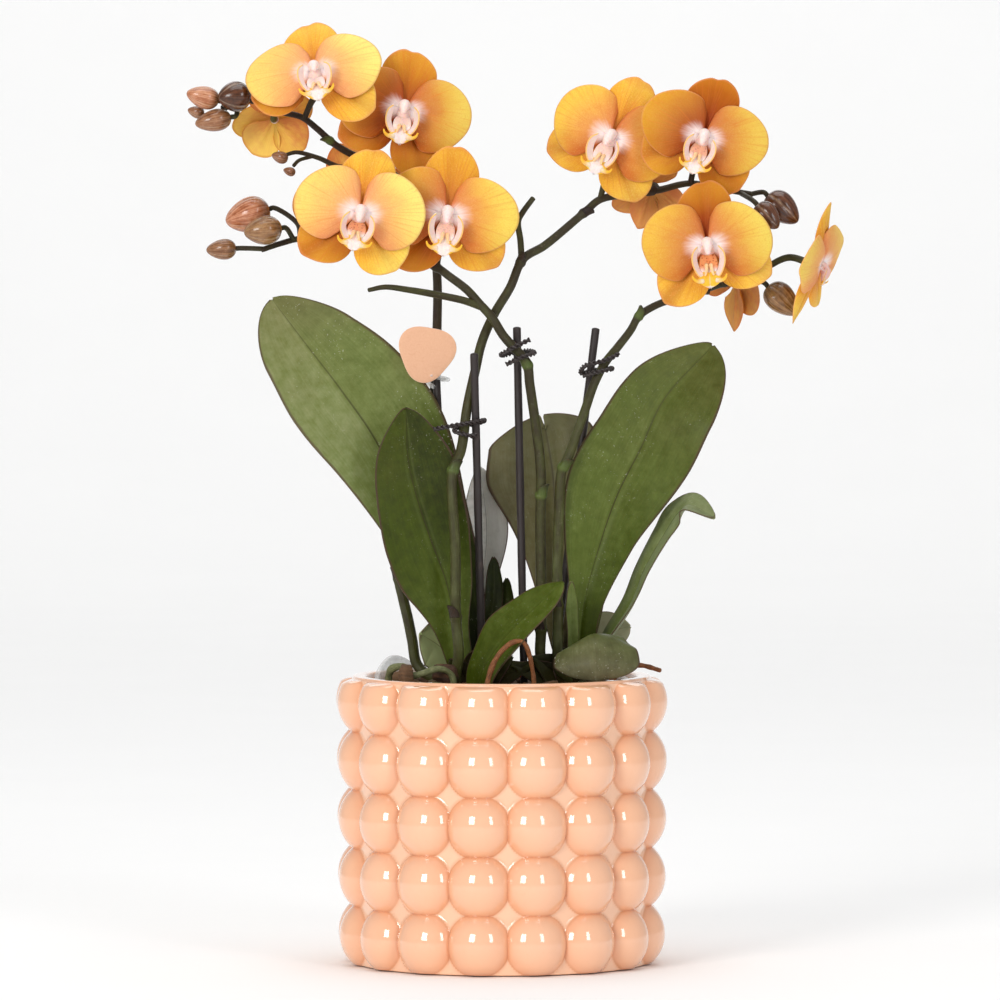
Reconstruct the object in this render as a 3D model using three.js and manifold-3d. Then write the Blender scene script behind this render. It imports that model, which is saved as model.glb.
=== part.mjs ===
// A multiflora moth orchid in a beaded ceramic cachepot.
// Millimetres, +Z up. The origin is the middle of the cachepot's underside.
// The front of the plant, which its flowers face, is towards -Y; +X is to the right seen from the front.

import * as THREE from 'three';
import { mergeVertices } from 'three/addons/utils/BufferGeometryUtils.js';
import Module from 'manifold-3d';

const wasm = await Module();
wasm.setup();

// Driving dimensions

// Clearance between two pieces that touch on the real plant
const GAP = 0.3;
// A stalk ends a hair further than that from the flower or bud that it carries
const SEAT = GAP + 0.02;

const CACHEPOT = {
  height: 107,
  beads: 16,
  rows: 5,
  firstRow: 11.4,
  rowPitch: 21.55,
  beadTurn: 13.6,
  wallRadius: 55,
  beadHeight: 6.6,
  footRadius: 50.5,
  rimRadius: 54.6,
  innerTop: 50.2,
  innerBottom: 46,
  floor: 12,
};

const NURSERY = {
  bottomRadius: 34,
  topRadius: 46,
  lip: 1.2,
  height: 94,
  wall: 0.9,
  buckle: 6.8,
  buckleAngle: 152,
  buckleWidth: 19,
  holeRadius: 3,
  holeCircle: 21,
  holes: 6,
  sides: 30,
};

const BARK = { top: 102 };

const STICK_RADIUS = 1.45;
const WIRE_RADIUS = 0.85;
const SPIKE_RADIUS = 2;
const PEDICEL_RADIUS = 1.1;
const STALK_RADIUS = 0.95;
const LEAF_THICKNESS = 1.3;
const TEPAL_THICKNESS = 0.7;

// Colours and finishes

const FINISH = {
  ceramic: { color: 0xf3bd96, roughness: 0.22 },
  clear: { color: 0xdfe4e2, roughness: 0.2, transparent: true, opacity: 0.4 },
  bark: { color: 0x4a3423, roughness: 0.95 },
  root: { color: 0x8a5a34, roughness: 0.8 },
  stick: { color: 0x2a2221, roughness: 0.6 },
  tag: { color: 0xefbf9c, roughness: 0.85 },
  stem: { color: 0x5f6440, roughness: 0.6 },
  leaf: { color: 0x54702c, roughness: 0.45 },
  petal: { color: 0xf0a03c, roughness: 0.6 },
  bud: { color: 0x8a5638, roughness: 0.45 },
};

const plant = new THREE.Group();

// Building blocks

const vector = ([x, y, z]) => new THREE.Vector3(x, y, z);

function closedGeometry(points, triangles) {
  const geometry = new THREE.BufferGeometry();
  const numbers = points.flatMap((p) => [p.x, p.y, p.z]);
  geometry.setAttribute('position', new THREE.Float32BufferAttribute(numbers, 3));
  geometry.setIndex(triangles.flat());
  return facingOut(geometry);
}

// Turns every triangle round when the body's signed volume is negative
function facingOut(geometry) {
  const position = geometry.getAttribute('position');
  const index = geometry.getIndex().array;
  const corner = [0, 1, 2].map(() => new THREE.Vector3());
  let volume = 0;
  for (let i = 0; i < index.length; i += 3) {
    corner.forEach((c, j) => c.fromBufferAttribute(position, index[i + j]));
    volume += corner[0].dot(corner[1].cross(corner[2]));
  }
  if (volume < 0) {
    for (let i = 0; i < index.length; i += 3) {
      [index[i], index[i + 1]] = [index[i + 1], index[i]];
    }
  }
  return geometry;
}

// A copy without its normals and texture places, so that its corners can be merged
function bare(geometry) {
  const copy = geometry.clone();
  copy.deleteAttribute('normal');
  copy.deleteAttribute('uv');
  return copy;
}

function solidOf(geometry) {
  const merged = mergeVertices(bare(geometry), 1e-4);
  return new wasm.Manifold(new wasm.Mesh({
    numProp: 3,
    vertProperties: new Float32Array(merged.getAttribute('position').array),
    triVerts: new Uint32Array(merged.getIndex().array),
  }));
}

function geometryOf(solid) {
  const mesh = solid.getMesh();
  const geometry = new THREE.BufferGeometry();
  geometry.setAttribute('position', new THREE.BufferAttribute(new Float32Array(mesh.vertProperties), 3));
  geometry.setIndex(new THREE.BufferAttribute(new Uint32Array(mesh.triVerts), 1));
  return geometry;
}

const joined = (geometries) => geometries.map(solidOf).reduce((whole, next) => whole.add(next));

// What is left of a body outside its neighbours, without the crumbs they cut off
function cutClear(solid, neighbours) {
  const rest = neighbours.reduce((whole, neighbour) => whole.subtract(neighbour), solid);
  return rest.decompose().sort((a, b) => b.volume() - a.volume())[0];
}

function addPiece(name, solid, finish) {
  const material = new THREE.MeshStandardMaterial({ ...finish, metalness: 0 });
  const mesh = new THREE.Mesh(geometryOf(solid), material);
  mesh.name = name;
  plant.add(mesh);
}

// A round rod along a curve, its radius given for each place from 0 at its start to 1 at its end
function rod(points, radiusAt, sides, steps, grow = 0) {
  const curve = new THREE.CatmullRomCurve3(points.map(vector));
  const frames = curve.computeFrenetFrames(steps, false);
  const ringPoints = [];
  const triangles = [];
  for (let i = 0; i <= steps; i += 1) {
    const beyond = { 0: -grow, [steps]: grow }[i] ?? 0;
    const centre = curve.getPointAt(i / steps).addScaledVector(frames.tangents[i], beyond);
    const radius = radiusAt(i / steps) + grow;
    for (let j = 0; j < sides; j += 1) {
      const turn = (j / sides) * 2 * Math.PI;
      ringPoints.push(centre.clone()
        .addScaledVector(frames.normals[i], Math.cos(turn) * radius)
        .addScaledVector(frames.binormals[i], Math.sin(turn) * radius));
    }
  }
  for (let i = 0; i < steps; i += 1) {
    for (let j = 0; j < sides; j += 1) {
      const here = i * sides + j;
      const beside = i * sides + ((j + 1) % sides);
      triangles.push([here, beside, beside + sides], [here, beside + sides, here + sides]);
    }
  }
  for (let j = 1; j < sides - 1; j += 1) {
    const last = steps * sides;
    triangles.push([0, j + 1, j], [last, last + j, last + j + 1]);
  }
  return closedGeometry(ringPoints, triangles);
}

// A thick sheet between an upper and a lower grid of points
function slab(rows, columns, upperAt, lowerAt) {
  const points = [];
  for (const side of [upperAt, lowerAt]) {
    for (let i = 0; i < rows; i += 1) {
      for (let j = 0; j < columns; j += 1) points.push(side(i, j));
    }
  }
  const under = rows * columns;
  const at = (i, j) => i * columns + j;
  const triangles = [];
  for (let i = 0; i < rows - 1; i += 1) {
    for (let j = 0; j < columns - 1; j += 1) {
      const [a, b, c, d] = [at(i, j), at(i, j + 1), at(i + 1, j + 1), at(i + 1, j)];
      triangles.push([a, b, c], [a, c, d]);
      triangles.push([under + a, under + c, under + b], [under + a, under + d, under + c]);
    }
  }
  const wall = (a, b) => triangles.push([b, a, under + a], [b, under + a, under + b]);
  for (let j = 0; j < columns - 1; j += 1) {
    wall(at(0, j), at(0, j + 1));
    wall(at(rows - 1, j + 1), at(rows - 1, j));
  }
  for (let i = 0; i < rows - 1; i += 1) {
    wall(at(i + 1, 0), at(i, 0));
    wall(at(i, columns - 1), at(i + 1, columns - 1));
  }
  return closedGeometry(points, triangles);
}

// A leaf or tepal: each row of its spine is [x, y, z, left, right], a point of the midrib and the
// half-widths on its two sides, seen with the upper face towards the viewer and the tip up.
// The half-widths are rounded off to nothing over the last stretch.
function blade({ spine, face, thickness, cup, bodySteps, tipSteps, columns, grow = 0 }) {
  const midrib = new THREE.CatmullRomCurve3(spine.map(vector));
  const widths = new THREE.SplineCurve(spine.map((row) => new THREE.Vector2(row[3], row[4])));
  const tipFrom = 1 - 1 / (spine.length - 1);
  const stations = [];
  for (let i = 0; i < bodySteps; i += 1) stations.push((tipFrom * i) / bodySteps);
  for (let i = 0; i < tipSteps; i += 1) {
    stations.push(tipFrom + (1 - tipFrom) * Math.sin((i / (tipSteps - 0.65)) * (Math.PI / 2)));
  }
  const frames = stations.map((t, i) => {
    const tangent = midrib.getTangent(t);
    const across = new THREE.Vector3().crossVectors(tangent, face(t)).normalize();
    const up = new THREE.Vector3().crossVectors(across, tangent).normalize();
    const rounding = Math.sqrt(1 - Math.max(0, (t - tipFrom) / (1 - tipFrom)) ** 2);
    const width = widths.getPoint(t).multiplyScalar(rounding);
    const beyond = { 0: -grow, [stations.length - 1]: grow }[i] ?? 0;
    const centre = midrib.getPoint(t).addScaledVector(tangent, beyond);
    return { centre, across, up, width };
  });
  const pointAt = (i, j, sign) => {
    const v = (2 * j) / (columns - 1) - 1;
    const { centre, across, up, width } = frames[i];
    const reach = (v < 0 ? width.x : width.y) + grow;
    const half = thickness * (0.5 - 0.25 * v * v) + grow;
    const rise = cup(stations[i], v, reach) + sign * half;
    return centre.clone().addScaledVector(across, v * reach).addScaledVector(up, rise);
  };
  return slab(frames.length, columns, (i, j) => pointAt(i, j, 1), (i, j) => pointAt(i, j, -1));
}

// Cachepot

// How far a bead's face stands out of the wall, from 0 between beads to 1 on its middle
function beadRise(turn, height) {
  const { beads, rows, firstRow, rowPitch, beadTurn } = CACHEPOT;
  const across = (((turn - beadTurn) / 360) * beads) % 1;
  const u = 2 * Math.abs(across - Math.round(across));
  const row = THREE.MathUtils.clamp(Math.round((height - firstRow) / rowPitch), 0, rows - 1);
  const v = Math.abs(height - firstRow - row * rowPitch) / (rowPitch / 2);
  return Math.sqrt(Math.max(0, 1 - u ** 2.4 - v ** 2.4));
}

function cachepot() {
  const { height, beads, rows, firstRow, rowPitch, wallRadius, beadHeight } = CACHEPOT;
  const heights = [0];
  for (let row = 0; row < rows; row += 1) {
    for (const part of [-0.36, 0, 0.36, 0.5]) heights.push(firstRow + (row + part) * rowPitch);
  }
  heights[heights.length - 1] = height - 2;
  const turns = [];
  for (let bead = 0; bead < beads; bead += 1) {
    for (const part of [-0.5, -0.33, 0, 0.33]) turns.push(((bead + part) / beads) * 360 + CACHEPOT.beadTurn);
  }
  const outer = heights.map((z) => turns.map((turn) => {
    const lean = THREE.MathUtils.lerp(-0.6, 0.4, z / height);
    const foot = z < 1 ? CACHEPOT.footRadius - wallRadius : 0;
    return [turn, wallRadius + lean + foot + beadHeight * (z < 1 ? 0 : beadRise(turn, z)), z];
  }));
  const ring = (radius, z) => turns.map((turn) => [turn, radius, z]);
  const { rimRadius, innerTop, innerBottom, floor } = CACHEPOT;
  const rings = [...outer, ring(rimRadius - 1, height), ring(innerTop, height), ring(innerBottom, floor)];
  const count = turns.length;
  const points = rings.flat().map(([turn, radius, z]) => {
    const angle = THREE.MathUtils.degToRad(turn - 90);
    return new THREE.Vector3(radius * Math.cos(angle), radius * Math.sin(angle), z);
  });
  const triangles = [];
  for (let i = 0; i < rings.length - 1; i += 1) {
    for (let j = 0; j < count; j += 1) {
      const here = i * count + j;
      const beside = i * count + ((j + 1) % count);
      triangles.push([here, beside, beside + count], [here, beside + count, here + count]);
    }
  }
  const underside = points.push(new THREE.Vector3(0, 0, 0)) - 1;
  const inside = points.push(new THREE.Vector3(0, 0, floor)) - 1;
  for (let j = 0; j < count; j += 1) {
    const next = (j + 1) % count;
    const last = (rings.length - 1) * count;
    triangles.push([underside, next, j], [inside, last + j, last + next]);
  }
  return solidOf(closedGeometry(points, triangles));
}

// Nursery pot

const nurseryBase = CACHEPOT.floor + GAP;

// The rim is pushed up where it is buckled
function rimLift(turn) {
  const away = THREE.MathUtils.euclideanModulo(turn - NURSERY.buckleAngle + 180, 360) - 180;
  return NURSERY.buckle * Math.exp(-((away / NURSERY.buckleWidth) ** 2));
}

function nurseryPot() {
  const { bottomRadius, topRadius, lip, height, wall, holes, holeRadius, holeCircle } = NURSERY;
  const profile = [
    [0, 0], [bottomRadius, 0], [topRadius, height - 4], [topRadius + lip, height - 3],
    [topRadius + lip, height], [topRadius - wall, height], [topRadius - wall, height - 4],
    [bottomRadius - wall, wall], [0, wall],
  ];
  const outline = profile.map(([r, z]) => new THREE.Vector2(r, z));
  const geometry = new THREE.LatheGeometry(outline, NURSERY.sides);
  geometry.rotateX(Math.PI / 2);
  const position = geometry.getAttribute('position');
  for (let i = 0; i < position.count; i += 1) {
    const turn = THREE.MathUtils.radToDeg(Math.atan2(position.getY(i), position.getX(i)));
    const high = position.getZ(i) > height - 3.5 ? rimLift(turn) : 0;
    position.setZ(i, position.getZ(i) + high + nurseryBase);
  }
  const drains = [];
  for (let i = 0; i < holes; i += 1) {
    const drain = new THREE.CylinderGeometry(holeRadius, holeRadius, 6 * wall, 8).rotateX(Math.PI / 2);
    const angle = (i / holes) * 2 * Math.PI;
    drains.push(drain.translate(holeCircle * Math.cos(angle), holeCircle * Math.sin(angle), nurseryBase));
  }
  const pot = solidOf(facingOut(mergeVertices(bare(geometry))));
  return drains.map(solidOf).reduce((rest, drain) => rest.subtract(drain), pot);
}

// Crowns, sticks and spikes

const CROWNS = {
  crown_left: [[-13, 0, 94], [-13, 0, 104], [-12.5, 0.5, 113]],
  crown_right: [[28.5, 0, 94], [28.5, 0, 104], [29, 0.5, 113]],
};
const CROWN_RADIUS = 5.5;

// Lower end and top of each stick
const STICKS = {
  support_stick_1: [[-17.3, 10, 60], [-24.7, 16, 229]],
  support_stick_2: [[-6, 9.5, 60], [-10.1, -12, 226]],
  support_stick_3: [[9.3, 6, 60], [5.7, -3, 235.5]],
  support_stick_4: [[13.5, 11, 60], [34.9, 2.5, 235]],
};

const crown = (path, grow) => rod(path, (t) => CROWN_RADIUS - 1.5 * t, 10, 4, grow);
const stick = (path, grow) => rod(path, () => STICK_RADIUS, 8, 1, grow);

// Each spike: its main stem from the crown to the last bud, and how thin the stem ends
const SPIKES = {
  flower_spike_1: {
    end: 0.9,
    stem: [
      [-17, 3, 105.5], [-26, 11, 105.5], [-31.4, 13.8, 110], [-33.2, 14.3, 118.9], [-34.7, 14.7, 126.4],
      [-36.6, 15.6, 134.5], [-38.2, 17, 143], [-34.8, 20, 171], [-29, 21, 193], [-25, 21, 212],
      [-24, 20, 235], [-24, 19, 255], [-26, 16, 270], [-32.5, 13, 285], [-43.5, 11, 294.5],
      [-56, 9, 300], [-62.5, 8, 304], [-68, 6.5, 309], [-74, 5, 313.5], [-82, 3.5, 315.5],
      [-93, 2, 319.5], [-98, 3, 317.5], [-103.5, 3, 317],
    ],
    branches: [
      {
        radius: [1, 0.7],
        path: [[-49.5, 10, 297.5], [-59, 9, 295], [-68, 7, 298.5], [-76, 5, 300.5], [-80, 4, 299.5]],
      },
      { radius: [0.7, 0.7], path: [[-70, 6.5, 299], [-75, 5, 297.5], [-77, 4, 295.5]] },
      {
        radius: [0.8, 0.6],
        path: [[-101.5, 3, 317], [-104.5, 3.8, 315], [-107, 3.8, 313.8], [-112, 2, 315]],
      },
    ],
    tinyBuds: [[-82, 3, 298.8, 3], [-78.5, 3.5, 293.5, 2.2], [-113, 2, 315.5, 3], [-107, 3.8, 313.8, 1.8]],
  },
  flower_spike_2: {
    end: 1,
    stem: [
      [-16.5, -3.5, 105.5], [-17, -9.5, 106.5], [-15.8, -13, 116], [-16.8, -14, 129], [-17, -15, 155],
      [-18, -13, 183], [-15, -11, 190.5], [-12.7, -7.5, 206], [-9.8, -5.5, 219.5], [-7.2, -3, 230.5],
      [-2.8, 0, 240.5], [3.2, 2, 250.5], [8, 4, 261], [16, 5, 266], [31, 6, 278.5], [36.5, 7, 283],
      [47, 8, 285], [58, 8, 286.5], [70, 8, 289], [83.5, 7, 286.5], [93, 6, 285],
    ],
    branches: [
      {
        radius: [1.2, 1],
        path: [[7.5, 4, 260], [7, 3, 268], [6.2, 3, 275], [8, 3, 278.5], [11.7, 3, 283.5]],
      },
    ],
    tinyBuds: [],
  },
  flower_spike_3: {
    end: 1,
    stem: [
      [24, -1, 105.5], [17, -2, 107], [14.5, -2.5, 114], [14.6, -3, 123.5], [14.6, -4, 142.5],
      [14.4, -5, 164.5], [14.6, -6, 176], [14.5, -6, 183], [13.9, -6, 190.5], [12.4, -7, 201.5],
      [10.5, -8, 214.5], [9.2, -8.5, 223], [4, -8, 229], [0.6, -7.5, 233], [-3.5, -7, 239.5],
      [-8, -6, 244.5], [-12.7, -5, 249.7], [-19, -3, 254.5], [-24, -1, 258], [-34, 2, 262], [-45, 4, 265],
      [-60, 4, 267], [-74.5, 2, 268.5], [-81, 0, 267], [-88.5, -2, 264.5],
    ],
    branches: [
      {
        radius: [1.4, 0.8],
        path: [
          [-7.5, -6, 243.5], [-13.5, -7, 245.7], [-19, -8, 247], [-33.7, -9, 249.7], [-43, -9, 250.8],
          [-49, -9, 249.7],
        ],
      },
    ],
    tinyBuds: [],
  },
  flower_spike_4: {
    end: 1,
    stem: [
      [25.5, -3.5, 105.5], [21.6, -6.5, 110], [20.9, -7, 132], [20.6, -7, 146], [21.3, -7, 168.5],
      [22.3, -7, 183], [24.2, -7, 187], [27.4, -6, 195.5], [31, -5, 205.7], [34.3, -3, 215],
      [38.2, -2, 222.5], [43, -1, 228.5], [47.8, 1, 234.7], [51, 2, 240], [57, 3, 243.8], [63, 4, 246],
      [73.5, 5, 249], [84.7, 5, 252.5], [92, 4, 253.5],
    ],
    branches: [],
    tinyBuds: [],
  },
};

// Buds: where the stalk meets each one, its tip and its radius
const BUDS = {
  bud_1: {
    base: [-105, 0, 320], tip: [-116, -4, 322.5], radius: 4.2,
    stalk: [[-102, 3, 317], [-103.5, 1.5, 319]],
  },
  bud_2: {
    base: [-100.5, -1, 313], tip: [-113, -4, 311], radius: 4.1,
    stalk: [[-97.5, 3, 317.5], [-98, 1, 314]],
  },
  bud_3: {
    base: [-98.5, -0.5, 322], tip: [-98, -12, 321.5], radius: 6,
    stalk: [[-93, 2, 319], [-96.5, 2, 321.5]],
  },
  bud_4: {
    base: [-86, 4, 280], tip: [-102, 0, 275], radius: 6.4,
    stalk: [[-74.5, 2, 268.5], [-75.5, 4, 274], [-80, 5, 279]],
  },
  bud_5: {
    base: [-81.5, -4, 272.5], tip: [-95, -9, 272], radius: 5.6,
    stalk: [[-77, 1, 268.5], [-78, -2, 271]],
  },
  bud_6: {
    base: [-98, -2.5, 265], tip: [-109, -4, 264.5], radius: 4,
    stalk: [[-87, -1.7, 264.8], [-93, -2, 265]],
  },
  bud_7: {
    base: [98.5, 5, 284.5], tip: [109.5, 2, 274.5], radius: 4.8,
    stalk: [[92, 6, 285], [95.5, 5.5, 285.5]],
  },
  bud_8: {
    base: [94.5, -2, 281], tip: [102, -6, 272.5], radius: 4.4,
    stalk: [[88.5, 6.5, 285.5], [92, 3, 284.5]],
  },
  bud_9: {
    base: [98.5, 2, 251], tip: [109.5, 0, 241.5], radius: 5.2,
    stalk: [[91, 4, 253.5], [95.5, 3, 253]],
  },
};
const BUD_SPIKE = {
  flower_spike_1: ['bud_1', 'bud_2', 'bud_3'],
  flower_spike_2: ['bud_7', 'bud_8'],
  flower_spike_3: ['bud_4', 'bud_5', 'bud_6'],
  flower_spike_4: ['bud_9'],
};

// Half-width of a bud from 0 at its stalk to 1 at its tip, against its greatest
const budShape = (t) => Math.sqrt(Math.sin(Math.PI * t ** 0.85)) * (1 - 0.25 * t);

function bud({ base, tip, radius }) {
  const axis = [0, 0.5, 1].map((t) => vector(base).lerp(vector(tip), t).toArray());
  return rod(axis, (t) => radius * Math.max(0.22, budShape(t)), 7, 5);
}

// Flowers

// The parts of one flower, seen from the front in its own plane: angle in degrees from its right,
// length, greatest half-width and how far forward it starts
const TEPALS = {
  dorsal_sepal: { angle: 90, length: 23.5, halfWidth: 9, forward: -1.4, bend: 2.5, shape: 'sepal' },
  left_sepal: { angle: 221, length: 23.5, halfWidth: 9.6, forward: -1.6, bend: 2.5, shape: 'sepal' },
  right_sepal: { angle: 319, length: 23.5, halfWidth: 9.6, forward: -1.6, bend: 2.5, shape: 'sepal' },
  left_petal: { angle: 168, length: 24, halfWidth: 12, forward: 0.5, bend: 2, shape: 'petal' },
  right_petal: { angle: 12, length: 24, halfWidth: 12, forward: 0.5, bend: 2, shape: 'petal' },
};

// Rows of distance and half-width, as parts of a tepal's length and greatest half-width
const OUTLINES = {
  sepal: [[0.07, 0.18], [0.25, 0.6], [0.5, 0.92], [0.75, 1], [1, 0.7]],
  petal: [[0.07, 0.14], [0.22, 0.62], [0.45, 0.95], [0.72, 1.04], [1, 0.8]],
};

// Each flower: the middle where its column stands, and how it is turned. Yaw turns it to the right,
// pitch up, and roll against the clock seen from the front. Angles replace those of its tepals.
const FLOWERS = {
  flower_1: {
    at: [-68.6, -12, 329], yaw: -5, pitch: 30, roll: 10, size: 1.03,
    angles: { left_sepal: 207, right_sepal: 315 },
  },
  flower_2: {
    at: [-36, 0, 315.5], yaw: 0, pitch: 12, roll: -7, size: 1.02,
    angles: { left_sepal: 206, right_sepal: 297, right_petal: -2 },
  },
  flower_3: {
    at: [-52, -28, 277.5], yaw: 2, pitch: 0, roll: -12, size: 1.02,
    angles: { left_sepal: 226, right_sepal: 316, right_petal: 17 },
  },
  flower_4: {
    at: [-20, -14, 277], yaw: 0, pitch: 0, roll: -6, size: 1.05,
    angles: { left_sepal: 228, right_sepal: 321, right_petal: 6 },
  },
  flower_5: { at: [-87.5, 19, 309], yaw: -130, pitch: 52, roll: 0, size: 0.68 },
  flower_6: {
    at: [40.3, -4, 305.4], yaw: -12, pitch: 0, roll: -23, size: 1,
    angles: { dorsal_sepal: 84, left_sepal: 213, right_sepal: 313 },
  },
  flower_7: {
    at: [74, -15, 305.5], yaw: 0, pitch: 0, roll: -18, size: 0.97,
    angles: { dorsal_sepal: 93, left_sepal: 212, right_sepal: 323 },
  },
  flower_8: {
    at: [75.5, -23, 265.5], yaw: 0, pitch: 0, roll: 4, size: 1.01,
    angles: { left_sepal: 229, right_sepal: 333 },
  },
  flower_9: { at: [87.6, 20, 252.5], yaw: 128, pitch: 0, roll: 40, size: 0.74 },
  flower_10: { at: [119.5, -4, 258.5], yaw: 72, pitch: -15, roll: 0, size: 0.98 },
  flower_11: { at: [56, 18, 288], yaw: 178, pitch: 0, roll: -35, size: 0.76 },
  flower_12: { at: [-54.5, 20, 280.5], yaw: 172, pitch: 0, roll: -8, size: 0.98 },
};

// Where each flower's pedicel leaves its spike
const PEDICELS = {
  flower_1: { spike: 'flower_spike_1', from: [-73, 5, 313] },
  flower_2: { spike: 'flower_spike_1', from: [-41, 11.3, 292.5] },
  flower_3: { spike: 'flower_spike_3', from: [-45, 4, 265] },
  flower_4: { spike: 'flower_spike_3', from: [-24, -1, 258] },
  flower_5: { spike: 'flower_spike_1', from: [-84, 3, 316] },
  flower_6: { spike: 'flower_spike_2', from: [36.5, 7, 283] },
  flower_7: { spike: 'flower_spike_2', from: [70, 8, 289] },
  flower_8: { spike: 'flower_spike_4', from: [73.5, 5, 249] },
  flower_9: { spike: 'flower_spike_4', from: [84.7, 5, 252.5] },
  flower_10: { spike: 'flower_spike_4', from: [92, 4, 253.5] },
  flower_11: { spike: 'flower_spike_2', from: [58, 8, 286.5] },
  flower_12: { spike: 'flower_spike_3', from: [-60, 4, 267] },
};

const RECEPTACLE = { radius: 1.8, back: 3.2, rise: 1.4 };

// Turns and moves a body from a flower's own plane, x right, y up and z forward, to its place
function flowerMatrix({ at, yaw, pitch, roll, size }) {
  const upright = new THREE.Matrix4().makeBasis(vector([1, 0, 0]), vector([0, 0, 1]), vector([0, -1, 0]));
  return new THREE.Matrix4()
    .makeTranslation(...at)
    .multiply(new THREE.Matrix4().makeRotationZ(THREE.MathUtils.degToRad(yaw)))
    .multiply(new THREE.Matrix4().makeRotationX(THREE.MathUtils.degToRad(-pitch)))
    .multiply(upright)
    .multiply(new THREE.Matrix4().makeRotationZ(THREE.MathUtils.degToRad(roll)))
    .scale(vector([size, size, size]));
}

const forwardFace = () => new THREE.Vector3(0, 0, 1);

function tepal({ angle, length, halfWidth, forward, bend, shape }) {
  const turn = THREE.MathUtils.degToRad(angle);
  const spine = OUTLINES[shape].map(([along, wide]) => [
    Math.cos(turn) * along * length,
    Math.sin(turn) * along * length,
    forward - bend * along ** 2,
    wide * halfWidth,
    wide * halfWidth,
  ]);
  const cup = (t, v) => -0.5 * v * v * t;
  const columns = shape === 'petal' ? 3 : 2;
  const thickness = shape === 'petal' ? TEPAL_THICKNESS : 2 * TEPAL_THICKNESS;
  return blade({ spine, face: forwardFace, thickness, cup, bodySteps: 2, tipSteps: 3, columns });
}

// The column, the lip's two side lobes and its horned middle lobe
function lipAndColumn() {
  const column = rod([[0, 0.3, -0.4], [0, 0.9, 3], [0, 0.2, 6.6]], (t) => 2.4 - 0.5 * t, 5, 1);
  const middle = blade({
    spine: [
      [0, -0.5, 0.6, 1.5, 1.5], [0, -5, 4.6, 1.8, 1.8], [0, -10, 6, 5.2, 5.2], [0, -13.3, 4.6, 2.6, 2.6],
    ],
    face: forwardFace, thickness: 1.2, cup: () => 0, bodySteps: 3, tipSteps: 2, columns: 2,
  });
  const lobe = (side) => blade({
    spine: [
      [side * 1, -3.2, 2.2, 1.4, 1.4], [side * 3.6, -6.4, 4.4, 2, 2], [side * 3.8, -0.8, 6.6, 1.8, 1.8],
    ],
    face: () => new THREE.Vector3(-side, 0, 0.8),
    thickness: 0.9, cup: () => 0, bodySteps: 1, tipSteps: 2, columns: 2,
  });
  return [column, middle, lobe(-1), lobe(1)];
}

function flower(place) {
  const { radius, back, rise } = RECEPTACLE;
  const receptacle = new THREE.CylinderGeometry(radius * 1.5, radius, back + rise, 6).rotateX(Math.PI / 2);
  const parts = [receptacle.translate(0, 0, (rise - back) / 2), ...lipAndColumn()];
  for (const [name, spec] of Object.entries(TEPALS)) {
    parts.push(tepal({ ...spec, angle: place.angles?.[name] ?? spec.angle }));
  }
  return joined(parts.map((part) => part.applyMatrix4(flowerMatrix(place))));
}

// A pedicel leaves its spike, and comes to the flower's back straight from behind
function pedicel(name, grow) {
  const place = FLOWERS[name];
  const matrix = flowerMatrix(place);
  const behind = (distance) => vector([0, 0, -distance / place.size]).applyMatrix4(matrix);
  const start = vector(PEDICELS[name].from);
  const end = behind(RECEPTACLE.back * place.size + SEAT);
  const reach = Math.min(9, start.distanceTo(end) * 0.5);
  const approach = behind(RECEPTACLE.back * place.size + SEAT + reach);
  const middle = start.clone().lerp(approach, 0.5).add(vector([0, 0, 1]));
  const path = [start, middle, approach, end].map((p) => p.toArray());
  return rod(path, (t) => PEDICEL_RADIUS + 0.3 * t, 4, 4, grow);
}

function spike(name, grow) {
  const { stem, end, branches, tinyBuds } = SPIKES[name];
  const parts = [rod(stem, (t) => THREE.MathUtils.lerp(SPIKE_RADIUS, end, t ** 2.2), 5, stem.length, grow)];
  for (const { path, radius } of branches) {
    parts.push(rod(path, (t) => THREE.MathUtils.lerp(...radius, t), 4, path.length, grow));
  }
  for (const [x, y, z, radius] of tinyBuds) {
    parts.push(new THREE.OctahedronGeometry(radius + grow, 0).translate(x, y, z));
  }
  for (const [flowerName, { spike: owner }] of Object.entries(PEDICELS)) {
    if (owner === name) parts.push(pedicel(flowerName, grow));
  }
  for (const budName of BUD_SPIKE[name]) {
    const { base, tip, stalk } = BUDS[budName];
    const along = vector(tip).sub(vector(base)).normalize();
    const seat = vector(base).addScaledVector(along, -SEAT);
    const approach = seat.clone().addScaledVector(along, -1.5);
    const path = [...stalk.slice(0, -1), approach.toArray(), seat.toArray()];
    parts.push(rod(path, () => STALK_RADIUS, 4, 3, grow));
  }
  return joined(parts);
}

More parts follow.
